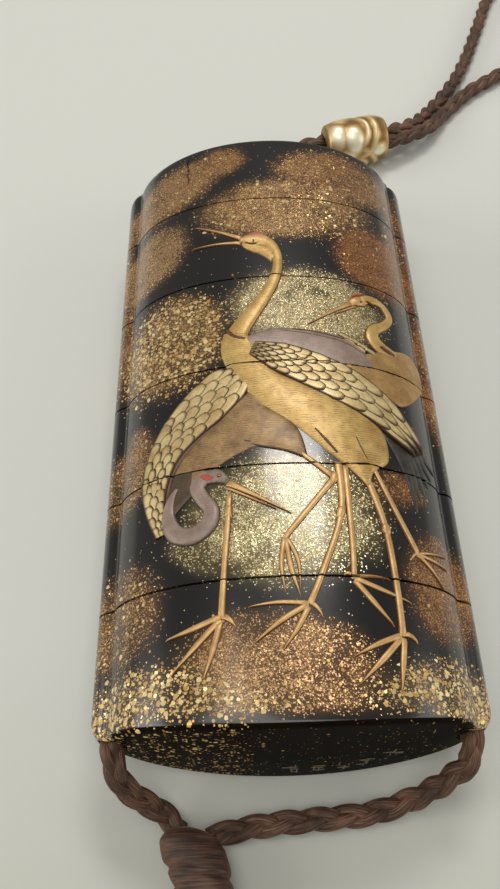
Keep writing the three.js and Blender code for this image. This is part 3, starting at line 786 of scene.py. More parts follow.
def lacquer_material(name, black, smooth, coat, specular):
    """Sprinkled lacquer over a black of its own, with the dust laid by the sprinkle attribute."""
    lacquer, shader = new_material(name)
    place = object_place(lacquer)
    clouds = add_node(lacquer, "ShaderNodeAttribute", {"attribute_name": "sprinkle"}, {})
    amounts = add_node(lacquer, "ShaderNodeSeparateColor", {}, {"Color": clouds.outputs["Color"]})
    uneven = math_node(lacquer, "MULTIPLY_ADD", noise(lacquer, place, 260.0, 6.0, 0.68), 2.0, -0.04)
    dust = math_node(lacquer, "MULTIPLY", amounts.outputs["Red"], uneven)
    dust_share = math_node(lacquer, "MULTIPLY_ADD", math_node(lacquer, "POWER", dust, 2.0), 0.88, 0.008)
    coarse_share = math_node(lacquer, "MULTIPLY_ADD", amounts.outputs["Green"], 0.5,
                             math_node(lacquer, "MULTIPLY", dust, 0.06))
    flake_share = math_node(lacquer, "MULTIPLY", math_node(lacquer, "POWER", amounts.outputs["Green"], 2.0),
                            0.9)
    dust_mask, dust_chance, dust_lean = grains(lacquer, place, 0.17, dust_share, 0.62, 0.4, 0.2)
    coarse_mask, coarse_chance, coarse_lean = grains(lacquer, place, 0.36, coarse_share, 0.52, 0.45, 0.3)
    flake_mask, flake_chance, flake_lean = grains(lacquer, place, 0.64, flake_share, 0.48, 0.34, 0.42)

    # Between the grains the coats look brown, where finer dust lies deeper in them.
    deep = math_node(lacquer, "POWER", math_node(lacquer, "MINIMUM", dust, 1.0), 1.7)
    tone = math_node(lacquer, "MULTIPLY_ADD", amounts.outputs["Blue"], 0.5, 0.5)
    deep_colour = mixed_colour(lacquer, tone, "#683A16", "#82744A")
    ground = mixed_colour(lacquer, deep, black, deep_colour)
    gold_low = mixed_colour(lacquer, tone, "#885020", "#BEA870")
    gold_high = mixed_colour(lacquer, tone, "#BC8040", "#F6ECC4")
    dust_gold = mixed_colour(lacquer, dust_chance, gold_low, gold_high)
    coarse_gold = mixed_colour(lacquer, coarse_chance, "#B07C3C", "#F0CC86")
    flake_gold = mixed_colour(lacquer, flake_chance, "#D0A254", "#FAE8B0")
    colour = mixed_colour(lacquer, dust_mask, ground, dust_gold)
    colour = mixed_colour(lacquer, coarse_mask, colour, coarse_gold)
    colour = mixed_colour(lacquer, flake_mask, colour, flake_gold)
    link(lacquer, colour, shader, "Base Color")
    gold = math_node(lacquer, "MAXIMUM", dust_mask,
                     math_node(lacquer, "MAXIMUM", coarse_mask, flake_mask))
    link(lacquer, math_node(lacquer, "MAXIMUM", math_node(lacquer, "MULTIPLY", gold, 0.5),
                            math_node(lacquer, "MULTIPLY", deep, 0.15)), shader, "Metallic")
    link(lacquer, math_node(lacquer, "MULTIPLY_ADD", gold, 0.08, smooth), shader, "Roughness")
    lean = dust_lean
    for mask, next_lean in ((coarse_mask, coarse_lean), (flake_mask, flake_lean)):
        lean_mix = add_node(lacquer, "ShaderNodeMix", {"data_type": "VECTOR"}, {0: mask})
        lacquer.node_tree.links.new(lean, lean_mix.inputs[4])
        lacquer.node_tree.links.new(next_lean, lean_mix.inputs[5])
        lean = lean_mix.outputs[1]
    tilt = add_node(lacquer, "ShaderNodeVectorMath", {"operation": "SCALE"}, {0: lean, "Scale": gold})
    true_normal = add_node(lacquer, "ShaderNodeNewGeometry", {}, {}).outputs["Normal"]
    tilted = add_node(lacquer, "ShaderNodeVectorMath", {"operation": "ADD"},
                      {0: true_normal, 1: tilt.outputs["Vector"]}).outputs["Vector"]
    tilted = add_node(lacquer, "ShaderNodeVectorMath", {"operation": "NORMALIZE"},
                      {0: tilted}).outputs["Vector"]
    link(lacquer, tilted, shader, "Normal")
    set_sockets(shader, {"IOR": 1.5, "Specular IOR Level": specular, "Coat Weight": coat,
                         "Coat Roughness": 0.13, "Coat IOR": 1.5})
    return lacquer


lacquer = lacquer_material("black lacquer with sprinkled gold", "#0C0A09", 0.24, 0.45, 0.5)
# The ends are rubbed dull by handling, so their black is browner and hardly mirrors.
worn_lacquer = lacquer_material("worn black lacquer", "#0C0805", 0.55, 0.0, 0.03)

for section, _, _ in sections:
    sprinkle(section)
    section.data.materials.clear()
    for material in (lacquer, worn_lacquer):
        section.data.materials.append(material)
    for face in section.data.polygons:
        on_end = abs(face.center.y) > SIDE_LENGTH / 2 and abs(face.normal.y) > 0.4
        face.material_index = 1 if on_end else 0
    only_selected(section)
    bpy.ops.object.shade_smooth_by_angle(angle=math.radians(28))


# The raised cranes
# Three cranes stand in low relief on the front, built up in lacquer and dusted with gold powder:
# rounded bodies, tiled wing feathers and thin legs, cut through wherever a seam crosses them.
front_line = quarter_section(*SECTION_STEPS)
front_line = np.vstack([front_line[:0:-1] * (-1, 1), front_line])
front_slope = np.gradient(front_line, axis=0)
front_out = np.stack([-front_slope[:, 1], front_slope[:, 0]], 1)
front_out /= np.linalg.norm(front_out, axis=1)[:, None]
RIM_SINK_MM = 0.05
RELIEF_SHELL = 0.00018


def on_front(x, y, lift):
    """Places in metres over points in mm on the front, lifted square off its curve."""
    metres = np.clip(np.asarray(x) / 1000, front_line[0, 0], front_line[-1, 0])
    surface = np.stack([np.interp(metres, front_line[:, 0], front_line[:, 1])] * 2, -1)
    out = np.stack([np.interp(metres, front_line[:, 0], front_out[:, i]) for i in (0, 1)], -1)
    up = np.asarray(lift)[..., None] / 1000 * out
    return np.stack([metres + up[..., 0], np.asarray(y) / 1000, surface[..., 1] + MIDDLE + up[..., 1]], -1)


def ribbon(points, widths):
    """A smooth middle line with its width at every point, all in mm."""
    flat = [(x, y, 0) for x, y in points]
    line, length = smooth_line(flat, 0.15)
    stations = [int(np.argmin(np.linalg.norm(line - p, axis=1))) / (len(line) - 1) for p in flat]
    share = np.linspace(0, 1, len(line))
    along = np.gradient(line, axis=0)[:, :2]
    along /= np.linalg.norm(along, axis=1)[:, None]
    side = np.stack([-along[:, 1], along[:, 0]], 1)
    return {"line": line[:, :2], "side": side, "wide": np.interp(share, stations, widths),
            "share": share, "length": length}


def on_ribbon(band, t, s):
    """Flat places at share t along a ribbon and s from -1 to 1 across it."""
    x, y = [np.interp(t, band["share"], band["line"][:, i]) for i in (0, 1)]
    side_x, side_y = [np.interp(t, band["share"], band["side"][:, i]) for i in (0, 1)]
    half = np.interp(t, band["share"], band["wide"]) / 2
    return x + side_x * half * s, y + side_y * half * s, half


def raised_sheet(material, rows, columns, shape):
    """A grid laid on the front by shape(u, v): flat places, lift, UV, and mm in from the edge."""
    bpy.ops.mesh.primitive_grid_add(x_subdivisions=rows, y_subdivisions=columns, size=2)
    sheet = bpy.context.object
    places = vertex_places(sheet)
    x, y, lift, along, across, rim = shape((places[:, 0] + 1) / 2, places[:, 1])
    sheet.data.vertices.foreach_set("co", on_front(x, y, lift).ravel())
    layer = sheet.data.uv_layers.active or sheet.data.uv_layers.new(name="UVMap")
    layer.name = "UVMap"
    layer.data.foreach_set("uv", corner_values(sheet.data, np.stack([along, across], 1)).ravel())
    edge = sheet.data.attributes.new("rim", "FLOAT", "POINT")
    edge.data.foreach_set("value", rim)
    sheet.data.materials.append(material)
    relief.append(sheet)


def raised_band(material, points, widths, height, base=0.0, columns=8, step=0.55, blunt=24):
    """A rounded raised band of given widths along a line of points, all in mm."""
    band = ribbon(points, widths)

    def shape(u, v):
        s = np.sin(v * math.pi / 2)
        x, y, half = on_ribbon(band, u, s)
        end = np.sqrt(np.clip(1 - np.abs(2 * u - 1) ** blunt, 0, 1))
        crown = height * np.sqrt(np.clip(1 - s * s, 0, 1)) * end
        edge = np.clip(1 - s**20, 0, 1) * np.clip(end * 3, 0, 1)
        rim = half * (1 - np.abs(s))
        return x, y, (base + crown) * edge - RIM_SINK_MM * (1 - edge), u * band["length"], s * half, rim

    raised_sheet(material, max(4, int(band["length"] / step)), columns, shape)


def even_points(points):
    line, _ = smooth_line([(x, y, 0) for x, y in points], 0.15)
    return np.linspace(0, 1, len(line)), line[:, :2]


def raised_field(material, first, second, height, base=0.0, columns=16, fullness=2.6):
    """A low swelling field between two edge lines in mm, full across and falling off at its edges."""
    lines = [even_points(points) for points in (first, second)]
    length = max(np.linalg.norm(np.diff(line, axis=0), axis=1).sum() for _, line in lines)

    def shape(u, v):
        s = np.sin(v * math.pi / 2)
        ends = [np.stack([np.interp(u, share, line[:, i]) for i in (0, 1)], 1) for share, line in lines]
        middle, reach = (ends[0] + ends[1]) / 2, (ends[1] - ends[0]) / 2
        flat = middle + reach * s[:, None]
        half = np.linalg.norm(reach, axis=1)
        crown = height * np.clip(1 - np.abs(s) ** fullness, 0, 1) ** 0.55
        crown = crown * np.clip(half / 0.8, 0, 1)
        edge = np.clip(1 - s**24, 0, 1)
        lift = (base + crown) * edge - RIM_SINK_MM * (1 - edge)
        return flat[:, 0], flat[:, 1], lift, u * length, s * half, half * (1 - np.abs(s))

    raised_sheet(material, max(6, int(length / 0.5)), columns, shape)


def feather(material, band, t0, t1, s, half, height, base, point=0.62):
    """One tiled feather on a wing ribbon: a flat plate with rounded sides, standing up at its tip."""
    long = abs(t1 - t0) * band["length"]

    def shape(u, v):
        past = np.clip((u - point) / (1 - point), 0.0, 1)
        taper = np.maximum(np.sqrt(np.clip(1 - past**2, 0, 1)), 0.02)
        across = np.sin(v * math.pi / 2)
        x, y, wide = on_ribbon(band, np.clip(t0 + (t1 - t0) * u, 0, 1), s + half * across * taper)
        out = np.where(past > 0, np.hypot(past, across * taper), np.abs(across))
        plate = (0.35 + 0.65 * u) * (0.82 + 0.18 * (1 - across**2)) * np.clip((1 - out) / 0.12, 0, 1) ** 0.5
        solid = out < 0.999
        lift = np.where(solid, base + height * plate, base - 0.04)
        rim = np.minimum((1 - out) * half * wide, (1 - u) * long + 0.02)
        return x, y, lift, u * long, across * half * wide, rim

    raised_sheet(material, 9, 8, shape)


def tiled_wing(material, points, widths, patches, height, base):
    """Staggered feathers along a wing in patches of (from, to, columns, first length, growth)."""
    band = ribbon(points, widths)
    for begin, finish, columns, first, growth in patches:
        spacing = 2 / (columns + 1)
        for column in range(columns):
            s = spacing * (column + 1) - 1
            size = first
            start = begin * band["length"] - (0.5 * first if column % 2 else 0.0)
            while start < finish * band["length"] - 0.35 * size:
                t0, t1 = (start - 0.6 * size) / band["length"], (start + size) / band["length"]
                feather(material, band, max(t0, 0.0), min(t1, 1.0), s, spacing, height, base)
                start += size
                size *= growth


# Raised gold: lacquer relief dusted with fine gold powder and burnished, so it shines softly. The
# plumage has rows of short level strokes 0.33 mm apart, and a brown line 0.1 mm wide edges it.
def relief_material(name, dark, light, metallic, roughness, strokes, edge="#4A3420", line=0.1):
    finish, shader = new_material(name)
    spot = object_place(finish)
    tint = ramp(finish, noise(finish, spot, 380.0, 4.0, 0.7), [(0.3, dark), (0.68, light)])
    powder = noise(finish, spot, 5200.0, 1.0)
    surface = powder
    if strokes > 0:
        rows = add_node(finish, "ShaderNodeTexWave", {"bands_direction": "Y", "Scale": 920.0,
                                                      "Distortion": 4.0, "Detail": 1.0,
                                                      "Detail Scale": 1.3}, {"Vector": spot}).outputs["Fac"]
        broken = add_node(finish, "ShaderNodeMapRange", {"From Min": 0.35, "From Max": 0.62},
                          {"Value": noise(finish, spot, 900.0, 2.0)}).outputs["Result"]
        cut = math_node(finish, "MULTIPLY", math_node(finish, "POWER", rows, 2.0), broken)
        tint = mixed_colour(finish, math_node(finish, "MULTIPLY", cut, strokes), tint, edge)
        surface = math_node(finish, "MULTIPLY_ADD", cut, -0.8, powder)
    rim = add_node(finish, "ShaderNodeAttribute", {"attribute_name": "rim"}, {}).outputs["Fac"]
    shade = add_node(finish, "ShaderNodeMapRange", {"From Min": 0.6 * line, "From Max": 1.5 * line,
                                                    "To Min": 1.0, "To Max": 0.0}, {"Value": rim})
    tint = mixed_colour(finish, shade.outputs["Result"], tint, edge)
    link(finish, tint, shader, "Base Color")
    bump(finish, shader, surface, 0.3, 0.00005)
    set_sockets(shader, {"Metallic": metallic, "Roughness": roughness, "Coat Weight": 0.2,
                         "Coat Roughness": 0.25})
    return finish


plumage = relief_material("engraved gold lacquer", "#AE8646", "#D6B670", 0.42, 0.42, 0.55, "#5E4026")
far_gold = relief_material("aged gold lacquer", "#94703E", "#C29C60", 0.4, 0.45, 0.4, "#5A3E24", 0.14)
neck_gold = relief_material("burnished gold lacquer", "#B08846", "#D8B672", 0.42, 0.42, 0.1, "#6A4A2C", 0.14)
feather_gold = relief_material("gold feather lacquer", "#B0925C", "#E6D09A", 0.4, 0.4, 0.0, "#3E2814", 0.26)
line_gold = relief_material("gold line lacquer", "#B88C56", "#DEB87C", 0.45, 0.42, 0.0, "#6A4424", 0.1)
mauve = relief_material("mauve grey lacquer", "#7C6A5E", "#A08C7E", 0.2, 0.45, 0.12, "#54433A", 0.14)
brown_wash = relief_material("brown gold lacquer", "#70543A", "#B0905E", 0.35, 0.5, 0.5, "#46301E", 0.14)
neck_brown = relief_material("grey brown lacquer", "#3C3024", "#625038", 0.3, 0.5, 0.4, "#281E16")
sooty = relief_material("dark grey lacquer", "#26231F", "#4E4A42", 0.2, 0.35, 0.0, "#0E0C0A")
red_lacquer = relief_material("red lacquer", "#963E30", "#B85646", 0.1, 0.42, 0.0, "#863A2C")
collar_brown = relief_material("dark brown lacquer", "#4A2C18", "#744A2C", 0.4, 0.42, 0.0, "#4A2C18")
seam_brown = relief_material("brown line lacquer", "#5A3E24", "#6E4C2E", 0.3, 0.5, 0.0, "#5A3E24")
faint_gold = relief_material("rubbed gold line lacquer", "#54462C", "#7C6A44", 0.3, 0.5, 0.0, "#54462C")
relief = []

# The crane behind the others, at the right: a broad wedge of gold body that runs down behind the
# wing in front, a row of small feathers at its root, and its head turned back on its curved neck.
raised_field(far_gold, [(9.0, 0.4), (11.6, 2.2), (14.0, 3.4), (16.6, 4.6), (19.2, 5.4), (20.5, 4.2),
                        (20.4, 1.1)],
             [(9.4, -0.4), (11.5, -1.7), (14.1, -3.7), (16.3, -5.0), (17.4, -4.4), (19.0, -2.4),
              (20.2, -0.2)], 0.26, 0.0)
for x, y in ((9.6, 5.1), (10.9, 4.5), (12.0, 3.8), (13.0, 3.1), (10.2, 4.2), (11.5, 3.3)):
    raised_band(feather_gold, [(x - 0.9, y + 0.5), (x + 0.3, y - 0.1), (x + 0.9, y - 0.6)],
                [0.8, 1.1, 0.5], 0.16, 0.2, 6, 0.3, 6)
raised_band(neck_gold, [(12.3, 12.4), (14.2, 13.2), (15.9, 12.6), (16.7, 10.8), (15.7, 8.9), (14.0, 7.4),
                        (13.7, 6.0), (14.9, 4.4), (17.2, 3.2)], [1.9, 1.7, 1.2, 1.2, 1.5, 1.9, 2.1, 2.4, 2.6],
            0.34, 0.05)
raised_band(collar_brown, [(14.3, 4.6), (15.6, 3.9), (16.8, 3.6)], [0.4, 0.9, 0.3], 0.1, 0.38, 6, 0.3, 4)
raised_band(line_gold, [(11.0, 11.7), (12.2, 12.3), (13.4, 12.7)], [1.0, 2.0, 1.8], 0.36, 0.06)
raised_band(line_gold, [(11.5, 11.9), (8.2, 9.5), (4.6, 6.8)], [0.9, 0.55, 0.18], 0.2, 0.02, 6)
raised_band(line_gold, [(12.0, 11.4), (10.2, 10.2), (8.4, 9.0)], [0.5, 0.4, 0.12], 0.2, 0.02, 6)
raised_band(red_lacquer, [(11.2, 12.7), (12.2, 13.4), (13.2, 13.6)], [0.2, 0.6, 0.2], 0.08, 0.36, 8, 0.2, 2)
raised_band(sooty, [(12.35, 12.0), (12.7, 12.15)], [0.35, 0.35], 0.1, 0.4, 6, 0.1, 4)
raised_band(collar_brown, [(13.1, 12.5), (13.9, 12.4), (14.6, 11.8)], [0.15, 0.5, 0.2], 0.08, 0.32, 6, 0.2)

# The bent crane at the left: a broad brown gold body under a wing of pale feathers whose rounded
# tips point up to the shoulder, and a mauve neck curled round under its head.
raised_field(brown_wash, [(-3.6, -4.4), (-6.4, -6.8), (-9.0, -9.8), (-11.6, -12.6), (-13.2, -15.2),
                          (-14.2, -19.4)],
             [(-2.4, -5.4), (-0.2, -8.4), (0.6, -10.6), (-1.4, -12.6), (-3.6, -13.2), (-7.3, -15.2),
              (-10.6, -18.2)], 0.2, 0.0, 20, 4)
raised_field(brown_wash, [(-2.4, -6.4), (1.0, -9.0), (2.4, -10.8), (2.9, -12.6), (3.2, -14.5)],
             [(-3.6, -12.6), (-1.8, -13.1), (0.6, -13.7), (2.7, -14.6)], 0.2, 0.0, 12, 4)
raised_field(neck_brown, [(-13.2, -15.4), (-14.0, -18.0), (-14.5, -21.0), (-14.5, -24.2)],
             [(-10.4, -15.6), (-10.6, -18.6), (-12.2, -20.4), (-13.8, -22.4)], 0.2, 0.04, 12, 3)
for line, widths in (([(-2.4, -9.4), (-0.2, -11.2), (2.0, -13.8)], [0.12, 0.3, 0.15]),
                     ([(-4.8, -11.9), (-2.2, -12.6), (1.2, -13.7)], [0.12, 0.3, 0.15])):
    raised_band(seam_brown, line, widths, 0.06, 0.2, 6, 0.5)
raised_band(seam_brown, [(-14.4, -23.4), (-15.2, -19.4), (-15.1, -14.8), (-13.0, -10.2), (-9.8, -6.6),
                         (-5.6, -2.6)], [1.8, 2.8, 4.0, 5.6, 6.8, 5.6], 0.06, 0.12, 10)
tiled_wing(feather_gold, [(-14.4, -23.6), (-15.4, -20.0), (-15.6, -16.4), (-14.6, -12.4), (-12.4, -9.0),
                          (-9.4, -5.9), (-6.6, -3.1), (-4.6, -1.0)],
           [1.8, 2.6, 3.6, 4.6, 5.8, 6.8, 6.4, 4.6],
           [(0.0, 0.26, 3, 1.6, 1.05), (0.26, 0.58, 5, 2.0, 1.08), (0.58, 1.0, 6, 2.7, 1.06)], 0.32, 0.12)
raised_band(mauve, [(-12.6, -17.4), (-13.5, -19.4), (-13.7, -21.8), (-12.7, -23.9), (-10.8, -24.5),
                    (-8.9, -23.3), (-8.5, -21.4), (-9.6, -19.6), (-10.2, -18.0), (-9.2, -16.8),
                    (-7.4, -17.2)],
            [0.5, 1.3, 2.0, 2.4, 2.5, 2.3, 2.1, 2.0, 2.1, 2.2, 1.4], 0.42, 0.1, 10, 0.35, 8)
raised_band(mauve, [(-9.6, -17.2), (-8.0, -16.8), (-6.4, -17.8)], [1.5, 2.3, 1.0], 0.42, 0.12, 8, 0.3)
raised_band(line_gold, [(-6.6, -17.8), (-2.8, -20.2), (1.1, -22.7)], [1.0, 0.6, 0.14], 0.22, 0.04, 6)
raised_band(line_gold, [(-6.8, -18.5), (-3.2, -20.6), (-0.6, -22.1)], [0.5, 0.35, 0.1], 0.2, 0.04, 6)
raised_band(red_lacquer, [(-9.8, -16.7), (-9.4, -16.8), (-8.9, -17.0), (-8.4, -17.1), (-8.0, -17.2)],
            [0.15, 0.85, 1.05, 0.75, 0.15], 0.06, 0.5, 10, 0.1, 2)
raised_band(collar_brown, [(-7.75, -16.95), (-7.4, -17.0), (-7.0, -17.05)], [0.3, 0.75, 0.3], 0.06, 0.5,
            8, 0.08, 2)
raised_band(line_gold, [(-7.6, -17.0), (-7.4, -17.0), (-7.15, -17.05)], [0.15, 0.4, 0.15], 0.06, 0.56,
            8, 0.06, 2)
raised_band(line_gold, [(-6.3, -19.3), (-6.6, -24.0), (-7.0, -29.0), (-7.4, -35.2)],
            [0.8, 0.85, 0.8, 0.9], 0.26, 0.03, 6)
raised_band(line_gold, [(-6.4, -20.9), (-6.5, -22.7)], [0.9, 1.1], 0.34, 0.04, 6, 0.3, 4)
for toe in ([(-7.4, -34.9), (-10.6, -36.0), (-13.8, -36.9)], [(-7.4, -35.2), (-10.2, -38.0), (-12.9, -40.9)],
            [(-7.5, -35.4), (-8.3, -38.6), (-9.3, -41.8)], [(-7.3, -34.8), (-6.6, -35.2), (-5.7, -36.3)]):
    raised_band(line_gold, toe, [0.85, 0.8, 0.2], 0.24, 0.02, 6)

# The crane that calls, in front: dark tail, mauve flight feathers, gold body, wing, neck and legs.
for k in range(6):
    raised_band(sooty, [(12.8 + 0.35 * k, -8.6 + 0.5 * k), (15.6 + 0.45 * k, -13.6 + 0.6 * k),
                        (16.6 + 0.75 * k, -21.0 + 1.4 * k)], [1.0, 1.5, 0.3], 0.16, 0.02, 6)
raised_field(mauve, [(-3.6, 4.8), (-0.1, 6.0), (3.7, 5.9), (7.6, 5.3), (10.6, 4.2), (13.4, 1.2)],
             [(-3.0, 3.0), (0.8, 2.6), (3.7, 1.5), (6.6, 0.6), (9.5, -0.4), (12.6, -0.6)], 0.26, 0.02, 12, 3)
for points, widths in (([(1.6, 5.3), (5.4, 5.3), (9.4, 4.4), (12.2, 2.4)], [0.4, 1.0, 1.0, 0.3]),
                       ([(2.0, 4.6), (6.0, 4.3), (9.8, 3.3), (12.8, 1.4)], [0.4, 1.1, 1.1, 0.3]),
                       ([(2.8, 3.8), (6.6, 3.2), (10.4, 2.1), (13.0, 0.6)], [0.4, 1.2, 1.1, 0.3]),
                       ([(-2.6, 4.5), (-0.2, 5.2), (2.0, 5.0)], [0.4, 0.9, 0.3]),
                       ([(-2.2, 3.9), (0.4, 4.3), (3.0, 4.0)], [0.4, 0.9, 0.3])):
    raised_band(mauve, points, widths, 0.12, 0.26, 8)
for line in ([(0.6, 5.6), (5.4, 4.8), (9.6, 3.8), (12.6, 1.9)],
             [(1.6, 4.2), (6.2, 3.7), (10.0, 2.7), (12.9, 1.0)], [(-2.9, 4.3), (0.2, 4.8), (3.6, 4.4)],
             [(-1.6, 3.6), (1.6, 3.8), (5.0, 3.2)], [(2.2, 5.9), (6.4, 5.2), (9.9, 4.4)]):
    raised_band(collar_brown, line, [0.1, 0.24, 0.24, 0.08][:len(line)], 0.05, 0.39, 6, 0.4)
raised_band(feather_gold, [(-1.6, 4.4), (0.4, 4.2), (2.6, 3.7)], [0.5, 1.1, 0.4], 0.14, 0.26, 8, 0.3, 8)
raised_field(plumage, [(-6.9, 5.6), (-7.3, 3.4), (-7.0, 1.2), (-5.9, -1.6), (-4.0, -4.4), (-1.2, -7.6),
                       (2.1, -10.2), (5.5, -13.5), (8.0, -15.9), (9.4, -17.5), (10.5, -18.8)],
             [(-3.4, 5.2), (-2.0, 2.6), (0.4, -1.4), (4.0, -3.4), (8.0, -5.2), (11.2, -6.8), (12.9, -8.6),
              (13.8, -11.4), (13.6, -14.6), (11.4, -16.6), (10.8, -18.8)], 0.5, 0.05, 26, 2.4)
for line, widths in (([(4.3, -10.4), (5.8, -12.4), (7.2, -14.4)], [0.1, 0.35, 0.15]),
                     ([(9.4, -11.2), (10.0, -13.2), (10.8, -15.2)], [0.1, 0.35, 0.15])):
    raised_band(seam_brown, line, widths, 0.05, 0.53, 6, 0.4)
raised_band(seam_brown, [(-2.4, 2.0), (3.2, -0.6), (8.8, -3.7), (13.4, -7.0), (16.6, -10.6)],
            [2.6, 5.0, 5.9, 4.9, 2.6], 0.1, 0.36, 10)
tiled_wing(feather_gold, [(-3.0, 2.6), (0.4, 1.0), (4.4, -1.0), (8.8, -3.4), (12.8, -6.3), (15.6, -9.4),
                          (17.9, -12.2)], [2.4, 4.8, 5.8, 6.2, 5.4, 4.0, 2.2],
           [(0.0, 0.26, 7, 1.5, 1.06), (0.26, 0.56, 6, 2.4, 1.1), (0.56, 1.0, 5, 3.6, 1.1)], 0.34, 0.4)
raised_band(neck_gold, [(-4.1, 23.0), (-3.1, 22.5), (-1.8, 21.9), (-0.4, 21.0), (0.6, 19.2)],
            [0.5, 1.7, 2.3, 2.2, 1.2], 0.34, 0.08, 8, 0.3)
raised_band(neck_gold, [(-2.1, 23.5), (-0.1, 22.8), (0.9, 21.0), (1.1, 18.2), (0.3, 14.8), (-1.4, 11.4),
                        (-3.4, 8.2), (-4.9, 5.6), (-5.3, 3.6)],
            [2.5, 2.0, 1.6, 1.6, 1.8, 2.1, 2.6, 3.1, 3.4], 0.44, 0.08, 10, 0.5, 60)
raised_band(line_gold, [(-4.4, 23.5), (-3.0, 23.7), (-1.4, 23.6), (0.0, 22.9)], [0.9, 2.0, 2.5, 1.8],
            0.5, 0.08, 8, 0.3)
raised_band(line_gold, [(-3.9, 24.1), (-7.4, 26.1), (-11.2, 28.2)], [0.9, 0.5, 0.2], 0.24, 0.03, 6)
raised_band(line_gold, [(-4.0, 23.2), (-7.6, 23.5), (-11.6, 23.5)], [0.8, 0.45, 0.2], 0.24, 0.03, 6)
raised_band(red_lacquer, [(-2.9, 24.6), (-1.7, 24.7), (-0.5, 24.1)], [0.3, 0.75, 0.3], 0.08, 0.42, 8, 0.2, 2)
raised_band(sooty, [(-2.4, 23.1), (-2.05, 23.05)], [0.45, 0.45], 0.1, 0.56, 6, 0.1, 4)
raised_band(collar_brown, [(-3.6, 22.9), (-2.6, 22.5), (-1.6, 22.6)], [0.08, 0.3, 0.08], 0.06, 0.5, 6, 0.2)
raised_band(collar_brown, [(-6.5, 6.3), (-5.2, 4.8), (-3.6, 4.2)], [0.5, 0.8, 0.5], 0.08, 0.5, 6, 0.3)
LEGS = [
    ([(10.6, -17.6), (12.0, -23.6), (12.5, -31.0), (12.5, -37.4)], [1.0, 0.85, 0.85, 0.9]),
    ([(7.1, -15.2), (6.9, -22.2), (3.9, -30.6), (2.4, -34.0)], [1.1, 0.85, 0.85, 0.9]),
    ([(7.9, -15.6), (7.8, -27.6), (7.6, -31.0)], [0.9, 0.8, 0.8]),
    ([(2.2, -13.8), (4.4, -15.8), (6.5, -17.7)], [0.6, 0.75, 0.9]),
    ([(6.5, -17.6), (3.2, -21.8), (0.0, -25.8)], [0.9, 0.85, 0.8]),
    ([(11.4, -15.6), (13.6, -21.4), (15.8, -26.9)], [0.7, 0.75, 0.75]),
]
for leg, widths in LEGS:
    raised_band(line_gold, leg, widths, 0.27, 0.03, 6)
for x, y, dx in ((12.1, -24.2, 0.1), (6.8, -22.4, -0.3), (6.4, -17.6, -0.2)):
    raised_band(line_gold, [(x - dx, y + 0.9), (x, y), (x + dx, y - 0.9)], [0.7, 1.3, 0.7], 0.34, 0.05, 6,
                0.25, 4)
TOES = [
    ([(12.4, -37.2), (9.6, -38.4), (6.6, -40.0)], [0.85, 0.75, 0.2]),
    ([(12.4, -37.4), (9.9, -40.1), (7.1, -42.9)], [0.8, 0.85, 0.2]),
    ([(12.6, -37.4), (12.1, -40.4), (11.5, -43.6)], [0.8, 0.8, 0.2]),
    ([(12.6, -37.0), (13.4, -37.2), (14.2, -38.1)], [0.7, 0.7, 0.2]),
    ([(2.4, -33.9), (-1.0, -33.7), (-4.5, -34.1)], [0.75, 0.6, 0.2]),
    ([(2.3, -34.0), (-0.8, -35.8), (-4.0, -38.4)], [0.8, 0.8, 0.2]),
    ([(2.3, -34.2), (1.0, -36.6), (-0.8, -39.2)], [0.8, 0.75, 0.2]),
    ([(2.5, -33.7), (3.2, -34.4), (3.8, -35.6)], [0.7, 0.6, 0.2]),
    ([(7.6, -30.8), (10.6, -32.0), (14.2, -33.4)], [0.75, 0.7, 0.2]),
    ([(7.6, -31.0), (9.6, -33.6), (11.7, -36.4)], [0.75, 0.75, 0.2]),
    ([(7.7, -30.6), (9.8, -30.5), (12.0, -30.7)], [0.6, 0.5, 0.2]),
    ([(7.5, -30.6), (7.0, -30.2), (6.5, -30.4)], [0.6, 0.6, 0.3]),
    ([(0.0, -25.6), (-0.5, -29.0), (-0.2, -32.6)], [0.7, 0.7, 0.2]),
    ([(0.1, -25.7), (0.6, -29.6), (1.5, -33.2)], [0.7, 0.75, 0.2]),
    ([(0.2, -25.6), (1.4, -28.6), (1.5, -32.0)], [0.6, 0.6, 0.2]),
    ([(0.0, -25.6), (0.6, -26.6), (0.9, -27.6)], [0.6, 0.5, 0.2]),
    ([(15.7, -26.8), (17.8, -27.2), (19.8, -27.8)], [0.6, 0.5, 0.15]),
    ([(15.7, -26.8), (17.4, -28.6), (18.7, -30.8)], [0.6, 0.5, 0.15]),
    ([(15.7, -26.7), (17.9, -26.2), (19.8, -25.9)], [0.5, 0.4, 0.15]),
    ([(15.7, -26.8), (15.2, -27.0), (14.8, -27.6)], [0.6, 0.5, 0.3]),
]
for toe, widths in TOES:
    raised_band(line_gold, toe, widths, 0.24, 0.02, 6)

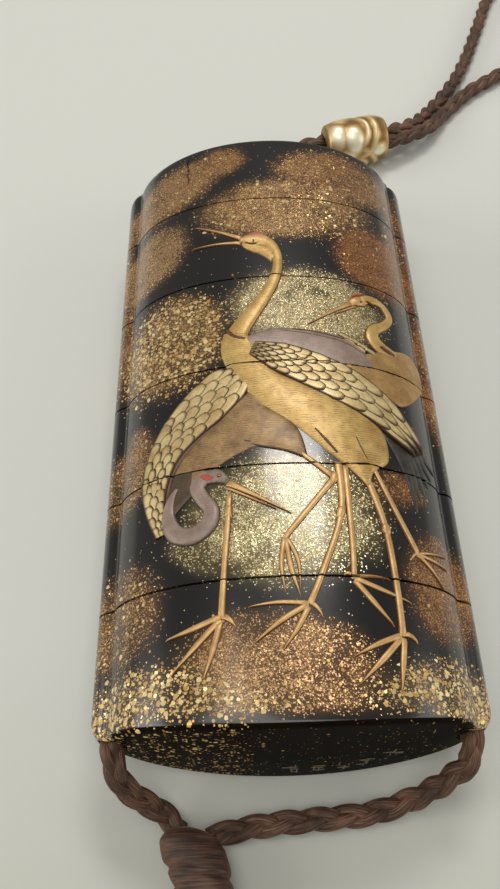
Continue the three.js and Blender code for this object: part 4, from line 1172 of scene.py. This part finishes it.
# Rows of shallow gold strokes stand on the base, where such a case is marked.
STROKES_PER_PLACE = 7
STROKE_LIFT_MM = 0.03
rng = np.random.default_rng(7)
strokes = []
for x, z in ((0.3, 4.1), (3.3, 4.3), (6.2, 4.8), (8.9, 5.6), (11.9, 8.2)):
    for _ in range(STROKES_PER_PLACE):
        level = rng.random() < 0.55
        long = rng.uniform(0.5, 1.6)
        cx, cz = x + rng.uniform(-0.7, 0.7), z + rng.uniform(-1.4, 1.4)
        bpy.ops.object.select_all(action="DESELECT")
        bpy.ops.mesh.primitive_cube_add(size=1)
        stroke = bpy.context.object
        size = (long, 0.16, 0.26) if level else (0.16, 0.16, long * 1.3)
        y = -SIDE_LENGTH * 500 - float(end_rise(np.array(cx / 1000))) * 1000 + STROKE_LIFT_MM
        for vertex in stroke.data.vertices:
            vertex.co = [(c * s + o) / 1000 for c, s, o in zip(vertex.co, size, (cx, y, cz))]
        inset = stroke.data.attributes.new("rim", "FLOAT", "POINT")
        inset.data.foreach_set("value", [1.0] * 8)
        stroke.data.materials.append(faint_gold)
        strokes.append(stroke)

raised = joined(relief)
raised.name = "raised_cranes"
marks = joined(strokes)
for section, low, high in sections:
    pieces = [section]
    part = copy_of(raised, "cranes_on_" + section.name)
    keep_between(part, low, high, fill=False)
    if len(part.data.polygons) == 0:
        bpy.data.objects.remove(part)
    else:
        apply_modifier(part, "SOLIDIFY", {"thickness": RELIEF_SHELL, "offset": -1})
        bpy.ops.object.shade_smooth_by_angle(angle=math.radians(50))
        pieces.append(part)
    if low is None:
        pieces.append(marks)
    section = joined(pieces)
    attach(section, "root")
bpy.data.objects.remove(raised)
for (section, _, _), node in zip(sections, ("lid", "case_1", "case_2", "case_3", "case_4", "case_5")):
    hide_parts(node)


# The table and the light
# A pale matt table in a dim room, under a broad soft ceiling light with weaker light from both
# sides. The lacquer mirrors only one bright window beyond the lid.
bpy.ops.object.select_all(action="DESELECT")
bpy.ops.mesh.primitive_plane_add(size=3)
table = bpy.context.object
table.name = "table"
matt, matt_shader = new_material("pale matt table")
# The near side of the table lies in the faint shade of whoever looks at the case.
along = add_node(matt, "ShaderNodeSeparateXYZ", {}, {"Vector": object_place(matt)}).outputs["Y"]
shade = add_node(matt, "ShaderNodeMapRange", {"interpolation_type": "SMOOTHSTEP", "From Min": -0.025,
                                              "From Max": -0.08}, {"Value": along}).outputs["Result"]
link(matt, mixed_colour(matt, shade, "#D4D5CF", "#BBBDB2"), matt_shader, "Base Color")
matt_shader.inputs["Roughness"].default_value = 0.75
table.data.materials.append(matt)


def soft_lamp(name, place, aim, wide, high, power, colour):
    bpy.ops.object.light_add(type="AREA", location=place)
    lamp = bpy.context.object
    lamp.name = name
    lamp.data.shape = "RECTANGLE"
    lamp.data.size, lamp.data.size_y = wide, high
    lamp.data.energy = power
    lamp.data.color = linear(colour)[:3]
    lamp.rotation_euler = (Vector(place) - Vector(aim)).to_track_quat("Z", "Y").to_euler()


soft_lamp("window", (0.075, 0.33, 0.56), (0, -0.02, 0.022), 0.22, 0.1, 1.15, "#FFFCF8")
soft_lamp("ceiling", (-0.12, -0.14, 0.95), (0, -0.02, 0), 1.0, 0.42, 3.25, "#FFFDFA")
soft_lamp("left wall", (-0.85, -0.1, 0.4), (0, 0, 0), 0.7, 0.4, 3.0, "#FFFCF6")
soft_lamp("right wall", (0.85, -0.1, 0.4), (0, 0, 0), 0.7, 0.4, 1.6, "#FFFCF6")
world = bpy.data.worlds.new("room")
world.use_nodes = True
set_sockets(world.node_tree.nodes["Background"], {"Color": linear("#E3E1D9"), "Strength": 0.36})
scene.world = world
scene.view_settings.view_transform = "Standard"
